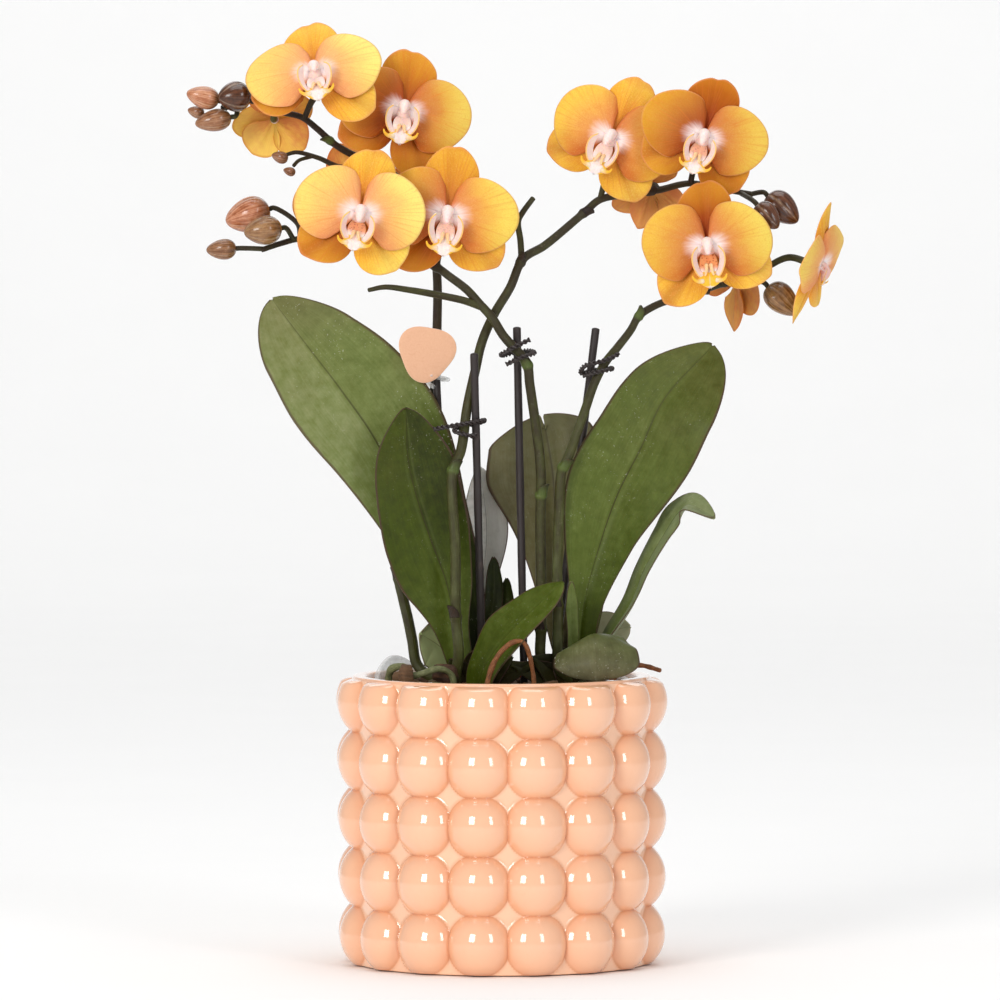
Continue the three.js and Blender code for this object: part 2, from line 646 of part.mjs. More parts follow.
// Leaves: the spine from the crown to the tip, and the upper face's direction at both ends
const LEAVES = {
  leaf_1: {
    spine: [
      [-13.2, 3, 108, 6, 6], [-20.6, 5, 134.5, 6, 15], [-33.5, 7, 164, 12, 22], [-46, 9, 193, 20.5, 26.5],
      [-59, 12, 212, 22.5, 25], [-71.5, 16, 228, 19, 19], [-85.5, 21, 246, 15, 11],
    ],
    face: [[0.3, -1, 0.1], [0, -1, 0.35]],
  },
  leaf_2: {
    spine: [
      [-14, -3, 107, 4.5, 4.5], [-17, -5, 124.5, 8, 5], [-20, -6, 141, 16, 9.5], [-26, -7, 157.5, 17.5, 15],
      [-31.5, -8, 174, 15, 17], [-34.5, -8, 187, 12, 16.5], [-35.5, -8, 206, 6, 10.5],
    ],
    face: [[0, -1, 0.1], [0, -1, 0.2]],
  },
  leaf_3: {
    spine: [
      [28.5, 0, 108, 5, 5.5], [30.2, -1, 131, 5, 6.5], [37.5, -0.5, 158, 15.5, 12],
      [43.5, 1, 174.5, 20.5, 17], [52, 3.5, 191.5, 19.5, 20], [60.5, 7.5, 209.5, 15.5, 20.5],
      [78.5, 16, 229, 8, 18.5],
    ],
    face: [[0.2, -1, 0.1], [0.15, -1, 0.35]],
  },
  leaf_4: {
    spine: [
      [27, 5, 106, 4, 4], [23.5, 11, 116, 4.5, 4.5], [20, 16.5, 134, 6, 5], [20, 20, 156, 14, 11],
      [19.6, 23, 177, 24.5, 16], [17, 26, 193.5, 22, 18], [15, 27, 202.5, 16, 15],
    ],
    face: [[0, -1, 0.1], [0, -1, -0.3]],
  },
  leaf_5: {
    spine: [[-11.5, 8, 107, 3.2, 3.2], [-7.5, 17, 138, 5, 5], [-5, 20, 160, 9, 8], [-8, 23, 183, 6, 6]],
    face: [[0, -1, 0.1], [0, -1, 0.3]],
  },
  leaf_6: {
    spine: [
      [33.5, 5, 107, 4.5, 4.5], [38.2, 5, 118.5, 5, 5], [47.6, 4, 133.6, 6, 6], [52.5, 3, 146, 6.5, 6.5],
      [60.4, 2, 160, 7, 7], [65.5, 1, 167.5, 7.5, 7.5], [69.3, -1, 170.3, 7, 7], [78.6, -4, 165.5, 4, 5.5],
    ],
    face: [[-1, -0.2, 0.3], [0.1, -0.5, 1]],
  },
  leaf_7: {
    spine: [
      [-9.5, -4, 106.5, 3, 3.5], [-7.5, -18, 114, 6, 7], [1.5, -24, 124, 9.5, 10.5],
      [11, -26, 132.5, 8.5, 10], [22.5, -27, 142.5, 5.5, 7],
    ],
    face: [[-0.4, -0.6, 0.7], [-0.4, -0.7, 0.6]],
  },
  leaf_8: {
    spine: [
      [32, -4.5, 107, 4.5, 4.5], [32, -11, 114.5, 7, 7], [32.6, -18.5, 119.7, 12.5, 12.5],
      [33.8, -25, 119.2, 15, 15], [34.8, -29, 114.3, 15.6, 15.6], [35, -31, 107.4, 13.5, 13.5],
    ],
    face: [[0, -0.6, 0.8], [0, -1, 0.3]],
    fold: -0.36,
  },
  leaf_9: {
    spine: [[28.5, 5, 107, 3.5, 3.5], [30.5, 13, 117, 5, 5], [38, 16, 121.5, 8, 8], [47.8, 17.5, 124, 7, 7]],
    face: [[0, -0.9, 0.5], [0, -1, 0.3]],
  },
  leaf_10: {
    spine: [
      [-15, 4, 106.5, 4.5, 4.5], [-19, 4.5, 114, 9, 9], [-24, 4, 118.5, 10.5, 10.5], [-30, 2, 122, 9, 9],
    ],
    face: [[0, -0.8, 0.6], [0, -0.9, 0.4]],
  },
  leaf_11: {
    spine: [[-9, 6, 107, 3, 3], [-3, 10.5, 134, 3.5, 3.5], [-3, 11.5, 150, 3.5, 3.5]],
    face: [[0.3, -1, 0], [0.3, -1, 0.1]],
  },
  leaf_12: {
    spine: [[-7, 8.5, 107, 2.6, 2.6], [0.8, 13, 126.5, 3.6, 3.6], [2, 14.5, 142, 3.3, 3.3]],
    face: [[0.3, -1, 0.1], [0.3, -1, 0.1]],
  },
  leaf_13: {
    spine: [[26, -4.4, 108, 2, 2], [26, -7.5, 131, 2.5, 2.5], [25.7, -9, 142, 2, 2]],
    face: [[0.5, -0.9, 0], [0.5, -0.9, 0.1]],
  },
  leaf_14: {
    spine: [[29.5, 5.6, 108, 2.2, 2.2], [33.5, 8, 128.5, 3.5, 3.5], [37, 9, 142.5, 3, 3]],
    face: [[0, -1, 0.1], [0, -1, 0.1]],
  },
};

function leaf({ spine, face, fold = 0.16 }, grow) {
  const [baseFace, tipFace] = face.map(vector);
  const long = spine.length > 4;
  return blade({
    spine,
    face: (t) => baseFace.clone().lerp(tipFace, t),
    thickness: LEAF_THICKNESS,
    cup: (t, v, reach) => fold * reach * (Math.abs(v) ** 1.4 - 0.4),
    bodySteps: long ? 5 : 3,
    tipSteps: long ? 4 : 3,
    columns: long ? 5 : 3,
    grow,
  });
}

// Roots, ties, tag

const ROOTS = {
  aerial_root_front: {
    radius: 1.3,
    path: [
      [-5.4, -37.5, 99], [-5, -37.5, 107], [-1.5, -37, 116], [4, -35, 121], [8, -33.5, 121], [11.5, -31, 110],
      [12, -30, 99],
    ],
  },
  aerial_root_right: {
    radius: 1.2,
    path: [[38, -4, 99], [42, -4.5, 106.5], [47, -5, 110.5], [52, -5, 110.8], [58.8, -6, 109]],
  },
  aerial_root_left: {
    radius: 1.5,
    path: [
      [-41.2, -9, 99], [-41.8, -9.5, 105], [-40.6, -12.5, 109.8], [-36, -16, 111], [-33, -20, 108],
      [-28.5, -21, 109], [-23, -19, 110.4], [-18.5, -16, 108], [-17, -14.5, 99],
    ],
  },
};

const root = ({ radius, path }, grow) => rod(path, (t) => radius * (1 - 0.3 * t), 6, path.length + 1, grow);

const TIES = {
  twist_tie_1: [
    [-25, -13, 198.5], [-18, -14.4, 199.8], [-13, -14, 200.6], [-8.7, -11.4, 201.3], [-6.2, -8.2, 201.6],
    [-8.5, -5, 200.6], [-13.6, -6, 199.4], [-17.4, -9.6, 198], [-14.5, -13.8, 196.9], [-11, -13, 196],
    [-9, -12, 196.5],
  ],
  twist_tie_2: [
    [1.8, -10, 222.4], [6.8, -12.8, 224.8], [12, -9.4, 226.4], [10, -3.5, 227.2], [5.5, 0.8, 226.6],
    [1.2, -2.8, 225.6], [0, -8, 226], [4, -12.2, 228.4], [10.5, -11.5, 231.5],
  ],
  twist_tie_3: [
    [30.2, -1.8, 218], [35.2, -6.2, 219.4], [40.4, -4.2, 220.4], [40, 1.5, 220.6], [33.8, 5.8, 219.6],
    [29.6, 2.6, 218.8], [31, -3.6, 221.8], [36.5, -6, 223.2], [41, -5.6, 224.8], [43.4, -4.8, 226.2],
  ],
};
const CLIP = [
  [-26, 9.5, 218], [-25.6, 11.4, 217.4], [-21.4, 13.2, 216.6], [-20, 18.5, 216], [-24.5, 24.6, 216],
  [-29, 20, 216], [-28.2, 16.8, 215.4], [-25.2, 14, 213.4],
];

const wire = (path, grow) => rod(path, () => WIRE_RADIUS, 4, path.length + 6, grow);

const TAG = { middle: [-27.8, 8.8, 226.3], thickness: 0.5, radius: 10.4, tilt: 6, cornerTurn: 20 };

// A card cut as a triangle with round sides and corners
function tag() {
  const { middle, thickness, radius, tilt, cornerTurn } = TAG;
  const outline = [];
  for (let turn = 0; turn < 360; turn += 20) {
    const angle = THREE.MathUtils.degToRad(turn);
    const reach = radius * (1 + 0.1 * Math.cos(3 * (angle - THREE.MathUtils.degToRad(cornerTurn))));
    outline.push(new THREE.Vector2(reach * Math.cos(angle), reach * Math.sin(angle)));
  }
  const flat = new THREE.Shape(outline);
  const card = new THREE.ExtrudeGeometry(flat, { depth: thickness, bevelEnabled: false });
  card.rotateX(Math.PI / 2);
  card.rotateX(THREE.MathUtils.degToRad(tilt));
  return solidOf(card.translate(...middle));
}

// Loose bark: middle, half sizes and turn about the upright
const CHIPS = {
  bark_chip_1: { at: [-35, -24, 108.4], half: [2.6, 2.2, 3.8], turn: 30 },
  bark_chip_2: { at: [-20.6, -12, 108.4], half: [4.8, 3, 3.4], turn: -20 },
  bark_chip_3: { at: [-37, 4, 105.3], half: [4, 3.4, 3], turn: 70 },
  bark_chip_4: { at: [12, 30, 105], half: [6, 4, 2.6], turn: 15 },
};

function chip({ at, half, turn }, grow) {
  const lump = new THREE.DodecahedronGeometry(1, 0).rotateX(0.4).scale(...half.map((h) => h + grow));
  return lump.rotateZ(THREE.MathUtils.degToRad(turn)).translate(...at);
}

// The potting bark fills the nursery pot up to its surface
function barkBed(neighbours) {
  const { bottomRadius, topRadius, wall, height, sides } = NURSERY;
  const low = wall + GAP;
  const high = BARK.top - nurseryBase;
  const insideAt = (z) => THREE.MathUtils.mapLinear(z, wall, height - 4, bottomRadius, topRadius) - wall;
  const radiusAt = (z) => insideAt(z) - GAP;
  const profile = [
    [0, low], [radiusAt(low), low], [radiusAt(high - 2), high - 2], [radiusAt(high) - 3, high], [0, high],
  ];
  const bed = new THREE.LatheGeometry(profile.map(([r, z]) => new THREE.Vector2(r, z)), sides);
  bed.rotateX(Math.PI / 2).translate(0, 0, nurseryBase);
  return cutClear(solidOf(facingOut(mergeVertices(bare(bed)))), neighbours);
}

// Assembly

// Every piece so far, made larger by the gap: the next one is cut clear of them
const taken = [];

function place(specs, make, finish) {
  for (const [name, spec] of Object.entries(specs)) {
    addPiece(name, cutClear(make(spec, 0), taken), finish);
    taken.push(make(spec, GAP));
  }
}

const solidMaker = (make) => (spec, grow) => solidOf(make(spec, grow));
const spikeNames = Object.fromEntries(Object.keys(SPIKES).map((name) => [name, name]));

addPiece('cachepot', cachepot(), FINISH.ceramic);
addPiece('nursery_pot', nurseryPot(), FINISH.clear);
place(CROWNS, solidMaker(crown), FINISH.stem);
place(STICKS, solidMaker(stick), FINISH.stick);
place(ROOTS, solidMaker(root), FINISH.root);
place(CHIPS, solidMaker(chip), FINISH.bark);
place(spikeNames, spike, FINISH.stem);
addPiece('potting_bark', barkBed(taken), FINISH.bark);
place(TIES, solidMaker(wire), FINISH.stick);
place({ tag_clip: CLIP }, solidMaker(wire), FINISH.clear);
addPiece('plant_tag', cutClear(tag(), taken), FINISH.tag);
place(LEAVES, solidMaker(leaf), FINISH.leaf);
for (const [name, spec] of Object.entries(FLOWERS)) {
  addPiece(name, cutClear(flower(spec), taken), FINISH.petal);
}
for (const [name, spec] of Object.entries(BUDS)) {
  addPiece(name, cutClear(solidOf(bud(spec)), taken), FINISH.bud);
}

export default plant;
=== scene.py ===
"""A multiflora moth orchid in a beaded ceramic cachepot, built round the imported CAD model.

Shapes are written in millimetres in the model's frame (+Z up, the flowers face -Y) and become metres
when their mesh is made.
"""
import math
import random

import bmesh
import bpy
import numpy as np
from mathutils import Matrix, Vector, noise

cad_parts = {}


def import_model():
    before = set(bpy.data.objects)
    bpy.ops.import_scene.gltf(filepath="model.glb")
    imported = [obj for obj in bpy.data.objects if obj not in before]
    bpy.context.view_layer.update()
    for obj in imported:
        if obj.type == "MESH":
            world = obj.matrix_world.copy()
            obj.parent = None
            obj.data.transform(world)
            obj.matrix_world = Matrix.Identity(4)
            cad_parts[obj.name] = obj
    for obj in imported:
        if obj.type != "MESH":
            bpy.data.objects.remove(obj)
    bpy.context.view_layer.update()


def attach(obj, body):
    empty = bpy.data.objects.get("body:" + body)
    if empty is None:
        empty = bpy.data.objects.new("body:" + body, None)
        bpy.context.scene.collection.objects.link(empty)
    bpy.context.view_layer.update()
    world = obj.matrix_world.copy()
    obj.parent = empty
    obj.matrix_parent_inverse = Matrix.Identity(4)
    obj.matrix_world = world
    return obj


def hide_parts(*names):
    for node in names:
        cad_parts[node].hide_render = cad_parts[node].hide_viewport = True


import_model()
MM = 0.001
draw = random.Random(11)


# Node materials

def rgb(code):
    """A linear colour from the usual six hexadecimal digits."""
    parts = [int(code[i:i + 2], 16) / 255 for i in (0, 2, 4)]
    return (*(c / 12.92 if c <= 0.04045 else ((c + 0.055) / 1.055) ** 2.4 for c in parts), 1.0)


class Value:
    """One output of a node, which takes part in sums like a number."""

    def __init__(self, material, socket):
        self.material = material
        self.socket = socket

    def __add__(self, other):
        return self.material.math("ADD", self, other)

    def __sub__(self, other):
        return self.material.math("SUBTRACT", self, other)

    def __mul__(self, other):
        return self.material.math("MULTIPLY", self, other)

    def __pow__(self, other):
        return self.material.math("POWER", self, other)

    def __abs__(self):
        return self.material.math("ABSOLUTE", self)


class Material:
    """A Principled material and short names for the nodes that feed it; a colour is its six digits."""

    def __init__(self, name, constants=()):
        self.material = bpy.data.materials.new(name)
        self.material.use_nodes = True
        self.tree = self.material.node_tree
        self.shader = self.tree.nodes["Principled BSDF"]
        for label, value in dict(constants).items():
            self.shader.inputs[label].default_value = value

    def feed(self, socket, value):
        if isinstance(value, Value):
            self.tree.links.new(value.socket, socket)
        else:
            socket.default_value = rgb(value) if isinstance(value, str) else value

    def node(self, kind, inputs=(), output=0, **settings):
        made = self.tree.nodes.new(kind)
        for label, value in settings.items():
            setattr(made, label, value)
        for key, value in dict(inputs).items():
            self.feed(made.inputs[key], value)
        return Value(self, made.outputs[output])

    def finish(self, colour, roughness, normal):
        for label, value in (("Base Color", colour), ("Roughness", roughness), ("Normal", normal)):
            self.feed(self.shader.inputs[label], value)
        return self

    def attribute(self, name):
        return self.node("ShaderNodeAttribute", output="Fac", attribute_name=name)

    def places(self, scale=(1, 1, 1)):
        """Object coordinates, stretched."""
        source = self.node("ShaderNodeTexCoord", output="Object")
        return self.node("ShaderNodeMapping", {"Vector": source, "Scale": scale})

    def surface(self, stretch_along, stretch_across):
        """Coordinates that run along and across a blade, other ones on each blade."""
        return self.node("ShaderNodeCombineXYZ", {
            "X": self.attribute("along") * stretch_along,
            "Y": self.attribute("across") * stretch_across,
            "Z": self.attribute("seed"),
        })

    def skin(self, stretch_along, stretch_around):
        """Coordinates that run along a rod, by its length, and around it without a seam."""
        run = self.attribute("along") * self.attribute("length")
        return self.node("ShaderNodeCombineXYZ", {
            "X": run * stretch_along + self.attribute("seed"),
            "Y": self.attribute("across") * stretch_around,
            "Z": self.attribute("around") * stretch_around,
        })

    def noise(self, vector, scale, detail, roughness=0.55):
        inputs = {"Vector": vector, "Scale": scale, "Detail": detail, "Roughness": roughness}
        return self.node("ShaderNodeTexNoise", inputs, "Fac")

    def cells(self, vector, scale):
        return self.node("ShaderNodeTexVoronoi", {"Vector": vector, "Scale": scale}, "Distance")

    def math(self, operation, a, b=0.0, clamp=False):
        return self.node("ShaderNodeMath", {0: a, 1: b}, operation=operation, use_clamp=clamp)

    def step(self, value, low, high, to_low=0.0, to_high=1.0):
        """A smooth step from to_low at low to to_high at high."""
        inputs = {"Value": value, "From Min": low, "From Max": high, "To Min": to_low, "To Max": to_high}
        return self.node("ShaderNodeMapRange", inputs, "Result", interpolation_type="SMOOTHSTEP")

    def ramp(self, value, stops):
        made = self.node("ShaderNodeValToRGB", {"Fac": value}, "Color")
        elements = made.socket.node.color_ramp.elements
        while len(elements) < len(stops):
            elements.new(0.5)
        for element, (place, colour) in zip(elements, stops):
            element.position = place
            element.color = rgb(colour)
        return made

    def mix(self, share, a, b):
        return self.node("ShaderNodeMix", {0: share, 6: a, 7: b}, 2, data_type="RGBA")

    def bump(self, height, distance, strength, under=None):
        """A bump from a height, on top of another one where under is given."""
        inputs = {"Height": height, "Distance": distance * MM, "Strength": strength}
        if under is not None:
            inputs["Normal"] = under
        return self.node("ShaderNodeBump", inputs, "Normal")


# Mesh building blocks

class Part:
    """Points in millimetres, faces, point attributes and a material."""

    def __init__(self, points, faces, material, **attributes):
        self.points = np.asarray(points, float).reshape(-1, 3)
        self.faces = faces
        self.material = material
        self.attributes = attributes

    def moved(self, matrix):
        self.points = self.points @ matrix[:3, :3].T + matrix[:3, 3]
        return self


def make_piece(name, parts, slot, *nodes):
    """One object of several parts that replaces CAD nodes and rides on the plant's one body."""
    mesh = bpy.data.meshes.new(name)
    materials = []
    for part in parts:
        if part.material not in materials:
            materials.append(part.material)
    points = np.vstack([part.points for part in parts]) * MM
    faces, indices, start = [], [], 0
    for part in parts:
        faces += [[corner + start for corner in face] for face in part.faces]
        indices += [materials.index(part.material)] * len(part.faces)
        start += len(part.points)
    mesh.from_pydata(points.tolist(), [], faces)
    for material in materials:
        mesh.materials.append(material.material)
    mesh.polygons.foreach_set("material_index", indices)
    mesh.polygons.foreach_set("use_smooth", [True] * len(faces))
    for label in sorted({key for part in parts for key in part.attributes}):
        values = [np.broadcast_to(part.attributes.get(label, 0.0), len(part.points)) for part in parts]
        data = mesh.attributes.new(label, "FLOAT", "POINT").data
        data.foreach_set("value", np.concatenate(values).astype(float))
    mesh.validate()
    made = bpy.data.objects.new(name, mesh)
    bpy.context.scene.collection.objects.link(made)
    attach(made, "root")
    if nodes:
        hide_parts(*nodes)


def curve(points, params, even=False):
    """Places on the smooth curve through the points, for params from 0 at the first to 1 at the last."""
    p = np.array(points, float)
    last = len(p) - 1
    p = np.vstack([2 * p[0] - p[1], p, 2 * p[-1] - p[-2]])
    s = np.clip(np.asarray(params, float) * last, 0, last - 1e-9)
    i = s.astype(int)
    w = (s - i)[:, None]
    p0, p1, p2, p3 = p[i], p[i + 1], p[i + 2], p[i + 3]
    if even:
        t1, t2 = (p2 - p0) / 2, (p3 - p1) / 2
    else:
        d0, d1, d2 = (np.maximum(np.linalg.norm(b - a, axis=1) ** 0.5, 1e-4)[:, None]
                      for a, b in ((p0, p1), (p1, p2), (p2, p3)))
        t1 = ((p1 - p0) / d0 - (p2 - p0) / (d0 + d1) + (p2 - p1) / d1) * d1
        t2 = ((p2 - p1) / d1 - (p3 - p1) / (d1 + d2) + (p3 - p2) / d2) * d1
    return p1 + w * t1 + w * w * (3 * (p2 - p1) - 2 * t1 - t2) + w ** 3 * (2 * (p1 - p2) + t1 + t2)


def unit(vectors):
    """The vectors at length one."""
    return vectors / np.maximum(np.linalg.norm(vectors, axis=-1, keepdims=True), 1e-9)


def evenly(points, steps):
    """Evenly spaced points along a smooth curve, their tangents and sideways vectors, and its length."""
    fine = curve(points, np.linspace(0, 1, 40 * len(points)))
    run = np.concatenate([[0], np.cumsum(np.linalg.norm(np.diff(fine, axis=0), axis=1))])
    at = np.linspace(0, run[-1], steps + 1)
    centres = np.stack([np.interp(at, run, fine[:, k]) for k in range(3)], axis=1)
    tangents = unit(np.gradient(centres, axis=0))
    side = np.cross(tangents[0], [0.3, 1, 0.2])
    sides = []
    for tangent in tangents:
        side = side - tangent * side.dot(tangent)
        side /= np.linalg.norm(side)
        sides.append(side)
    return centres, tangents, np.array(sides), run[-1]


def full_turn(steps):
    """Even angles once round, without the last one, which would be the first again."""
    return np.linspace(0, 2 * math.pi, steps, endpoint=False)


def tube(rings, material, **attributes):
    """Faces between rings of points, capped at both ends."""
    rows, around = rings.shape[:2]
    faces = []
    for i in range(rows - 1):
        for j in range(around):
            k = (j + 1) % around
            faces.append((i * around + j, i * around + k, (i + 1) * around + k, (i + 1) * around + j))
    faces.append(tuple(reversed(range(around))))
    faces.append(tuple(range((rows - 1) * around, rows * around)))
    turn = full_turn(around)
    places = {
        "along": np.repeat(np.linspace(0, 1, rows), around),
        "across": np.tile(np.cos(turn), rows),
        "around": np.tile(np.sin(turn), rows),
    }
    return Part(rings, faces, material, **{**places, **attributes})


def circle(radius, z, turns):
    """A level ring of points; radius and z are numbers or one number for each turn."""
    heights = np.broadcast_to(z, turns.shape)
    return np.stack([radius * np.cos(turns), radius * np.sin(turns), heights], axis=1)


def rings_round(centres, tangents, normals, radii, sides):
    """One ring of points round each centre of a path."""
    binormals = np.cross(tangents, normals)
    turn = full_turn(sides)
    ring = normals[:, None] * np.cos(turn)[None, :, None] + binormals[:, None] * np.sin(turn)[None, :, None]
    return centres[:, None] + ring * radii[:, None, None]


def rod(points, radius, material, sides, spacing=0.8, rounded=0.5, **attributes):
    """A round rod; radius and attributes are numbers or functions of the place along it, 0 to 1."""
    length = evenly(points, 4)[3]
    steps = max(4, int(length / spacing))
    centres, tangents, normals, _ = evenly(points, steps)
    share = np.linspace(0, 1, steps + 1)
    radii = radius(share) if callable(radius) else np.full(steps + 1, float(radius))
    angles = np.array([0.6, 1.2])
    first = [centres[0] - tangents[0] * radii[0] * rounded * math.sin(a) for a in angles[::-1]]
    last = [centres[-1] + tangents[-1] * radii[-1] * rounded * math.sin(a) for a in angles]
    centres = np.array([*first, *centres, *last])
    radii = np.concatenate([radii[0] * np.cos(angles[::-1]), radii, radii[-1] * np.cos(angles)])
    tangents, normals = (np.vstack([x[:1], x[:1], x, x[-1:], x[-1:]]) for x in (tangents, normals))
    share = np.concatenate([[0, 0], share, [1, 1]])
    values = {key: np.repeat(np.broadcast_to(value(share) if callable(value) else value, len(share)), sides)
              for key, value in attributes.items()}
    rings = rings_round(centres, tangents, normals, radii, sides)
    return tube(rings, material, length=length / 100, **values)


def sheet(grid, half_thickness, material, **attributes):
    """A closed thin body round a grid of points; half_thickness is a number or a grid."""
    rows, columns = grid.shape[:2]
    down, right = np.gradient(grid, axis=0), np.gradient(grid, axis=1)
    normals = unit(np.cross(right, down))
    half = np.broadcast_to(half_thickness, (rows, columns))[..., None]
    points = np.concatenate([grid + normals * half, grid - normals * half]).reshape(-1, 3)
    count = rows * columns
    faces = []
    for i in range(rows - 1):
        for j in range(columns - 1):
            a, d = i * columns + j, (i + 1) * columns + j
            b, c = a + 1, d + 1
            faces.append((a, d, c, b))
            faces.append((count + a, count + b, count + c, count + d))
    rim = [(0, j) for j in range(columns)] + [(i, columns - 1) for i in range(1, rows)]
    rim += [(rows - 1, j) for j in range(columns - 2, -1, -1)] + [(i, 0) for i in range(rows - 2, 0, -1)]
    corners = [i * columns + j for i, j in rim]
    for a, b in zip(corners, corners[1:] + corners[:1]):
        faces.append((a, b, count + b, count + a))
    doubled = {key: np.tile(np.broadcast_to(value, (rows, columns)).ravel(), 2)
               for key, value in attributes.items()}
    doubled["side"] = np.concatenate([np.ones(count), np.zeros(count)])
    return Part(points, faces, material, **doubled)


def blade_grid(spine, face, rows, columns, rise, notch=0.0):
    """The middle surface of a leaf or a lobe of the lip, with its places along and across.

    Each spine row is x, y, z and the half-widths to the left and right, seen with the upper face towards
    the viewer and the tip up. rise(t, v, reach) lifts the surface towards that face, and notch is how
    deep the middle of the tip is drawn in.
    """
    last = 1 - 1 / (len(spine) - 1)
    body = np.linspace(0, last, int(rows * 0.6), endpoint=False)
    tip = last + (1 - last) * np.sin(np.linspace(0, 0.5 * math.pi, rows - len(body) + 1)[:-1] * 0.985)
    t = np.concatenate([body, tip, [last + (1 - last) * 0.9985]])
    table = np.array(spine, float)
    centre = curve(table[:, :3], t)
    ahead = curve(table[:, :3], np.minimum(t + 1e-3, 1)) - curve(table[:, :3], np.maximum(t - 1e-3, 0))
    tangent = unit(ahead)
    facing = np.array([np.array(face[0]) * (1 - s) + np.array(face[1]) * s for s in t])
    across = unit(np.cross(tangent, facing))
    up = unit(np.cross(across, tangent))
    rounding = np.sqrt(1 - np.maximum(0, (t - last) / (1 - last)) ** 2)
    width = curve(table[:, 3:5], t, even=True) * rounding[:, None]
    v = np.linspace(-1, 1, columns)
    v = np.sign(v) * (1 - (1 - np.abs(v)) ** 1.15)
    reach = np.where(v[None] < 0, width[:, :1], width[:, 1:])
    lift = rise(t[:, None], v[None], reach)
    grid = centre[:, None] + across[:, None] * (v[None] * reach)[..., None] + up[:, None] * lift[..., None]
    drawn = notch * np.clip((t[:, None] - last) / (1 - last), 0, 1) ** 3 * np.exp(-(v[None] / 0.35) ** 2)
    grid = grid - tangent[:, None] * drawn[..., None]
    return grid, np.broadcast_to(t[:, None], reach.shape), np.broadcast_to(v[None], reach.shape)


# Finishes

def ceramic():
    """A thick peach glaze with painted shade: darker and more orange low round each bead towards the
    crevices (partly glaze pooling), lightest on the bead tops, and a thin darker line along every seam
    between the beads.
    """
    m = Material("peach_glaze", {"IOR": 1.6, "Coat Weight": 0.8, "Coat Roughness": 0.03})
    rise, seam = m.attribute("rise"), m.attribute("seam")
    cloud = m.noise(m.places(), 45, 3)
    speck = m.noise(m.places(), 900, 2)
    # painted shade, with some glaze pooling: the glaze darkens low on each bead towards the crevices and is
    # lightest on the bead tops
    colour = m.ramp(rise, [(0.0, "F8C5A0"), (0.02, "F6BE98"), (0.07, "E39D70"), (0.2, "F0B087"),
                           (0.55, "F3B992"), (1.0, "F6BE99")])
    colour = m.mix(m.step(cloud, 0.35, 0.7, 0.0, 0.3), colour, "F8C5A3")
    # painted shade: a thin darker line along every seam between the beads
    colour = m.mix(seam * 0.55, colour, "D98F63")
    colour = m.mix(m.step(speck, 0.6, 0.75, 0.0, 0.08), colour, "D8A27C")
    swell = m.noise(m.places(), 110, 2)
    return m.finish(colour, m.step(cloud, 0.3, 0.7, 0.05, 0.1), m.bump(swell, 0.025, 0.2))


def clear_plastic():
    """Thin clear plastic, scuffed and cloudy in places."""
    m = Material("clear_plastic", {"IOR": 1.5})
    scuff = m.noise(m.places((1, 1, 3)), 160, 4)
    m.feed(m.shader.inputs["Alpha"], m.step(scuff, 0.45, 0.8, 0.4, 0.58))
    colour = m.mix(m.step(scuff, 0.4, 0.7), "DDE0DE", "F6F7F6")
    return m.finish(colour, m.step(scuff, 0.35, 0.75, 0.05, 0.25), m.bump(scuff, 0.1, 0.3))


def bark_finish():
    """Dark fibrous bark with a greenish patch here and there."""
    m = Material("bark")
    tint = m.attribute("tint")
    grain = m.noise(m.places((1, 1, 4)), 220, 5, 0.65)
    patch = m.noise(m.places(), 90, 4)
    colour = m.ramp(grain, [(0.25, "1E130C"), (0.5, "4A3020"), (0.78, "7A5638")])
    colour = m.mix(tint * 0.55, colour, "8A6A48")
    colour = m.mix(m.step(patch, 0.55, 0.75, 0.0, 0.35), colour, "55603A")
    return m.finish(colour, m.step(grain, 0.3, 0.8, 0.75, 0.95), m.bump(grain, 0.7, 0.9))


def root_finish(name, dark, light):
    """A root's papery skin, streaked lengthwise."""
    m = Material(name)
    skin = m.noise(m.skin(60, 3), 1.0, 5, 0.7)
    fine = m.noise(m.places(), 500, 4)
    colour = m.mix(m.step(fine, 0.3, 0.7, 0.0, 0.4),
                   m.ramp(skin, [(0.3, dark), (0.62, light), (0.85, "B7A27C")]), dark)
    return m.finish(colour, m.step(fine, 0.3, 0.7, 0.45, 0.75), m.bump(skin, 0.5, 0.7))


def stem_finish():
    """Dark olive turning purple-brown, with a faint bloom and lengthwise ribs."""
    m = Material("spike_skin", {"Specular IOR Level": 0.3, "Subsurface Weight": 0.05,
                                "Subsurface Scale": 0.002})
    wander = m.noise(m.skin(9, 0.7), 1.0, 4)
    blotch = m.noise(m.places(), 260, 5, 0.6)
    ripe = m.attribute("ripe")
    share = wander * 0.8 + blotch * 0.4
    share = share + (ripe - 0.5)
    colour = m.ramp(share, [(0.1, "565B33"), (0.35, "41421C"), (0.55, "353018"), (0.8, "2E2013"),
                            (1.0, "20120C")])
    colour = m.mix(m.step(m.attribute("green"), 0.3, 1.0, 0.0, 0.75), colour,
                   m.mix(blotch, "44541A", "66783A"))
    dust = m.noise(m.places(), 700, 3)
    colour = m.mix(m.step(dust, 0.6, 0.8, 0.0, 0.16), colour, "9A957E")
    ribs = m.math("SINE", m.attribute("across") * 31.4)
    normal = m.bump(dust, 0.12, 0.5, under=m.bump(ribs, 0.05, 0.5))
    return m.finish(colour, m.step(blotch, 0.3, 0.7, 0.36, 0.55), normal)


def stick_finish():
    """Nearly black stained wood with a fine lengthwise grain."""
    m = Material("stained_stick")
    grain = m.noise(m.places((1, 1, 0.06)), 1500, 4, 0.6)
    wear = m.noise(m.places((1, 1, 0.3)), 260, 4)
    colour = m.mix(grain, "130E0D", "362A28")
    colour = m.mix(m.step(wear, 0.6, 0.8, 0.0, 0.5), colour, "5A4A42")
    return m.finish(colour, m.step(grain, 0.3, 0.7, 0.42, 0.7), m.bump(grain, 0.15, 0.6))


